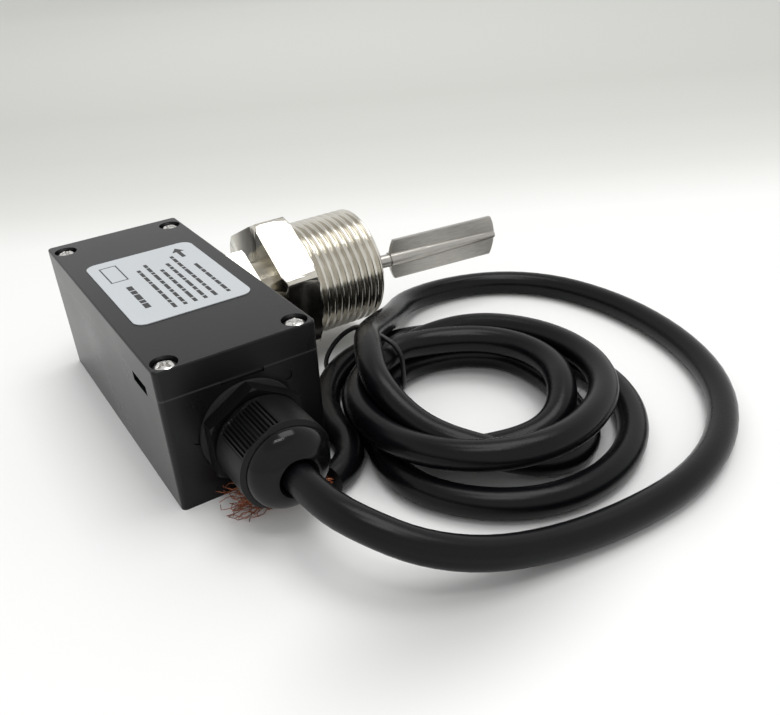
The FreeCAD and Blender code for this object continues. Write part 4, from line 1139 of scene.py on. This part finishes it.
class FLOWSWITCH_OT_label(bpy.types.Operator):
    """Generic print on the label: an arrow, a frame and ruled lines."""

    bl_idname = "flowswitch.label"
    bl_label = "Label print"

    def execute(self, context):
        bm = bmesh.new()
        for outline in self.shapes():
            self.prism(bm, outline, LABEL_TOP, LABEL_TOP + PRINT_HEIGHT)
        print_mesh = finished_mesh(bm, "label_print", smooth=False)
        print_mesh.materials.append(bpy.data.materials["label_print"])
        printed = shown("label_print", print_mesh)
        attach(printed, "root")
        return {"FINISHED"}

    def shapes(self):
        """Outlines on the label, in millimetres from its middle."""
        across, along = ARROW_PLACE
        shapes = [[(across + a, along + b) for b, a in ARROW]]
        for line in PRINT_LINES:
            shapes.extend(self.words(*line))
        left, low, right, high, edge = PRINT_FRAME.values()
        inner_low, inner_high = low + edge, high - edge
        for west, south, east, north in (
            (left, low, right, inner_low),
            (left, inner_high, right, high),
            (left, inner_low, left + edge, inner_high),
            (right - edge, inner_low, right, inner_high),
        ):
            shapes.append([(west, south), (east, south), (east, north), (west, north)])
        return shapes

    def words(self, x, y, width, length):
        """A ruled line as a row of short dashes."""
        dashes = []
        start, turn = y, round(x * 10)
        while start < y + length - 1.0:
            dash = WORD_LENGTHS[turn % len(WORD_LENGTHS)]
            stop = min(start + dash, y + length)
            dashes.append([(x, start), (x + width, start), (x + width, stop), (x, stop)])
            start, turn = stop + WORD_SPACE, turn + 1
        return dashes

    def prism(self, bm, outline, low, high):
        bottom = [bm.verts.new(Vector((x, y, low)) * MM) for x, y in outline]
        top = [bm.verts.new(Vector((x, y, high)) * MM) for x, y in outline]
        bm.faces.new(top)
        bm.faces.new(bottom[::-1])
        count = len(outline)
        for index in range(count):
            after = (index + 1) % count
            bm.faces.new((bottom[index], bottom[after], top[after], top[index]))


class FLOWSWITCH_PT_panel(bpy.types.Panel):
    """Lists the pieces in the order in which they are made."""

    bl_idname = "FLOWSWITCH_PT_panel"
    bl_label = "Flow switch"
    bl_space_type = "VIEW_3D"
    bl_region_type = "UI"
    bl_category = "Flow switch"

    def draw(self, context):
        for operator in OPERATORS:
            self.layout.operator(operator.bl_idname)


OPERATORS = (
    FLOWSWITCH_OT_stage,
    FLOWSWITCH_OT_finishes,
    FLOWSWITCH_OT_cable,
    FLOWSWITCH_OT_fitting,
    FLOWSWITCH_OT_gland_cap,
    FLOWSWITCH_OT_lid_screws,
    FLOWSWITCH_OT_label,
)
CLASSES = (FlowSwitchStage, FlowSwitchCable, FlowSwitchSurface, *OPERATORS, FLOWSWITCH_PT_panel)


def register():
    for item in CLASSES:
        bpy.utils.register_class(item)
    bpy.types.Scene.flow_stage = bpy.props.PointerProperty(type=FlowSwitchStage)
    bpy.types.Scene.flow_cable = bpy.props.PointerProperty(type=FlowSwitchCable)
    bpy.types.Scene.flow_surface = bpy.props.PointerProperty(type=FlowSwitchSurface)


def unregister():
    del bpy.types.Scene.flow_surface
    del bpy.types.Scene.flow_cable
    del bpy.types.Scene.flow_stage
    for item in reversed(CLASSES):
        bpy.utils.unregister_class(item)


def main():
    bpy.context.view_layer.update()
    register()
    for operator in OPERATORS:
        group, name = operator.bl_idname.split(".")
        if getattr(getattr(bpy.ops, group), name)() != {"FINISHED"}:
            raise RuntimeError(f"{operator.bl_label} did not finish")


if __name__ == "__main__":
    main()
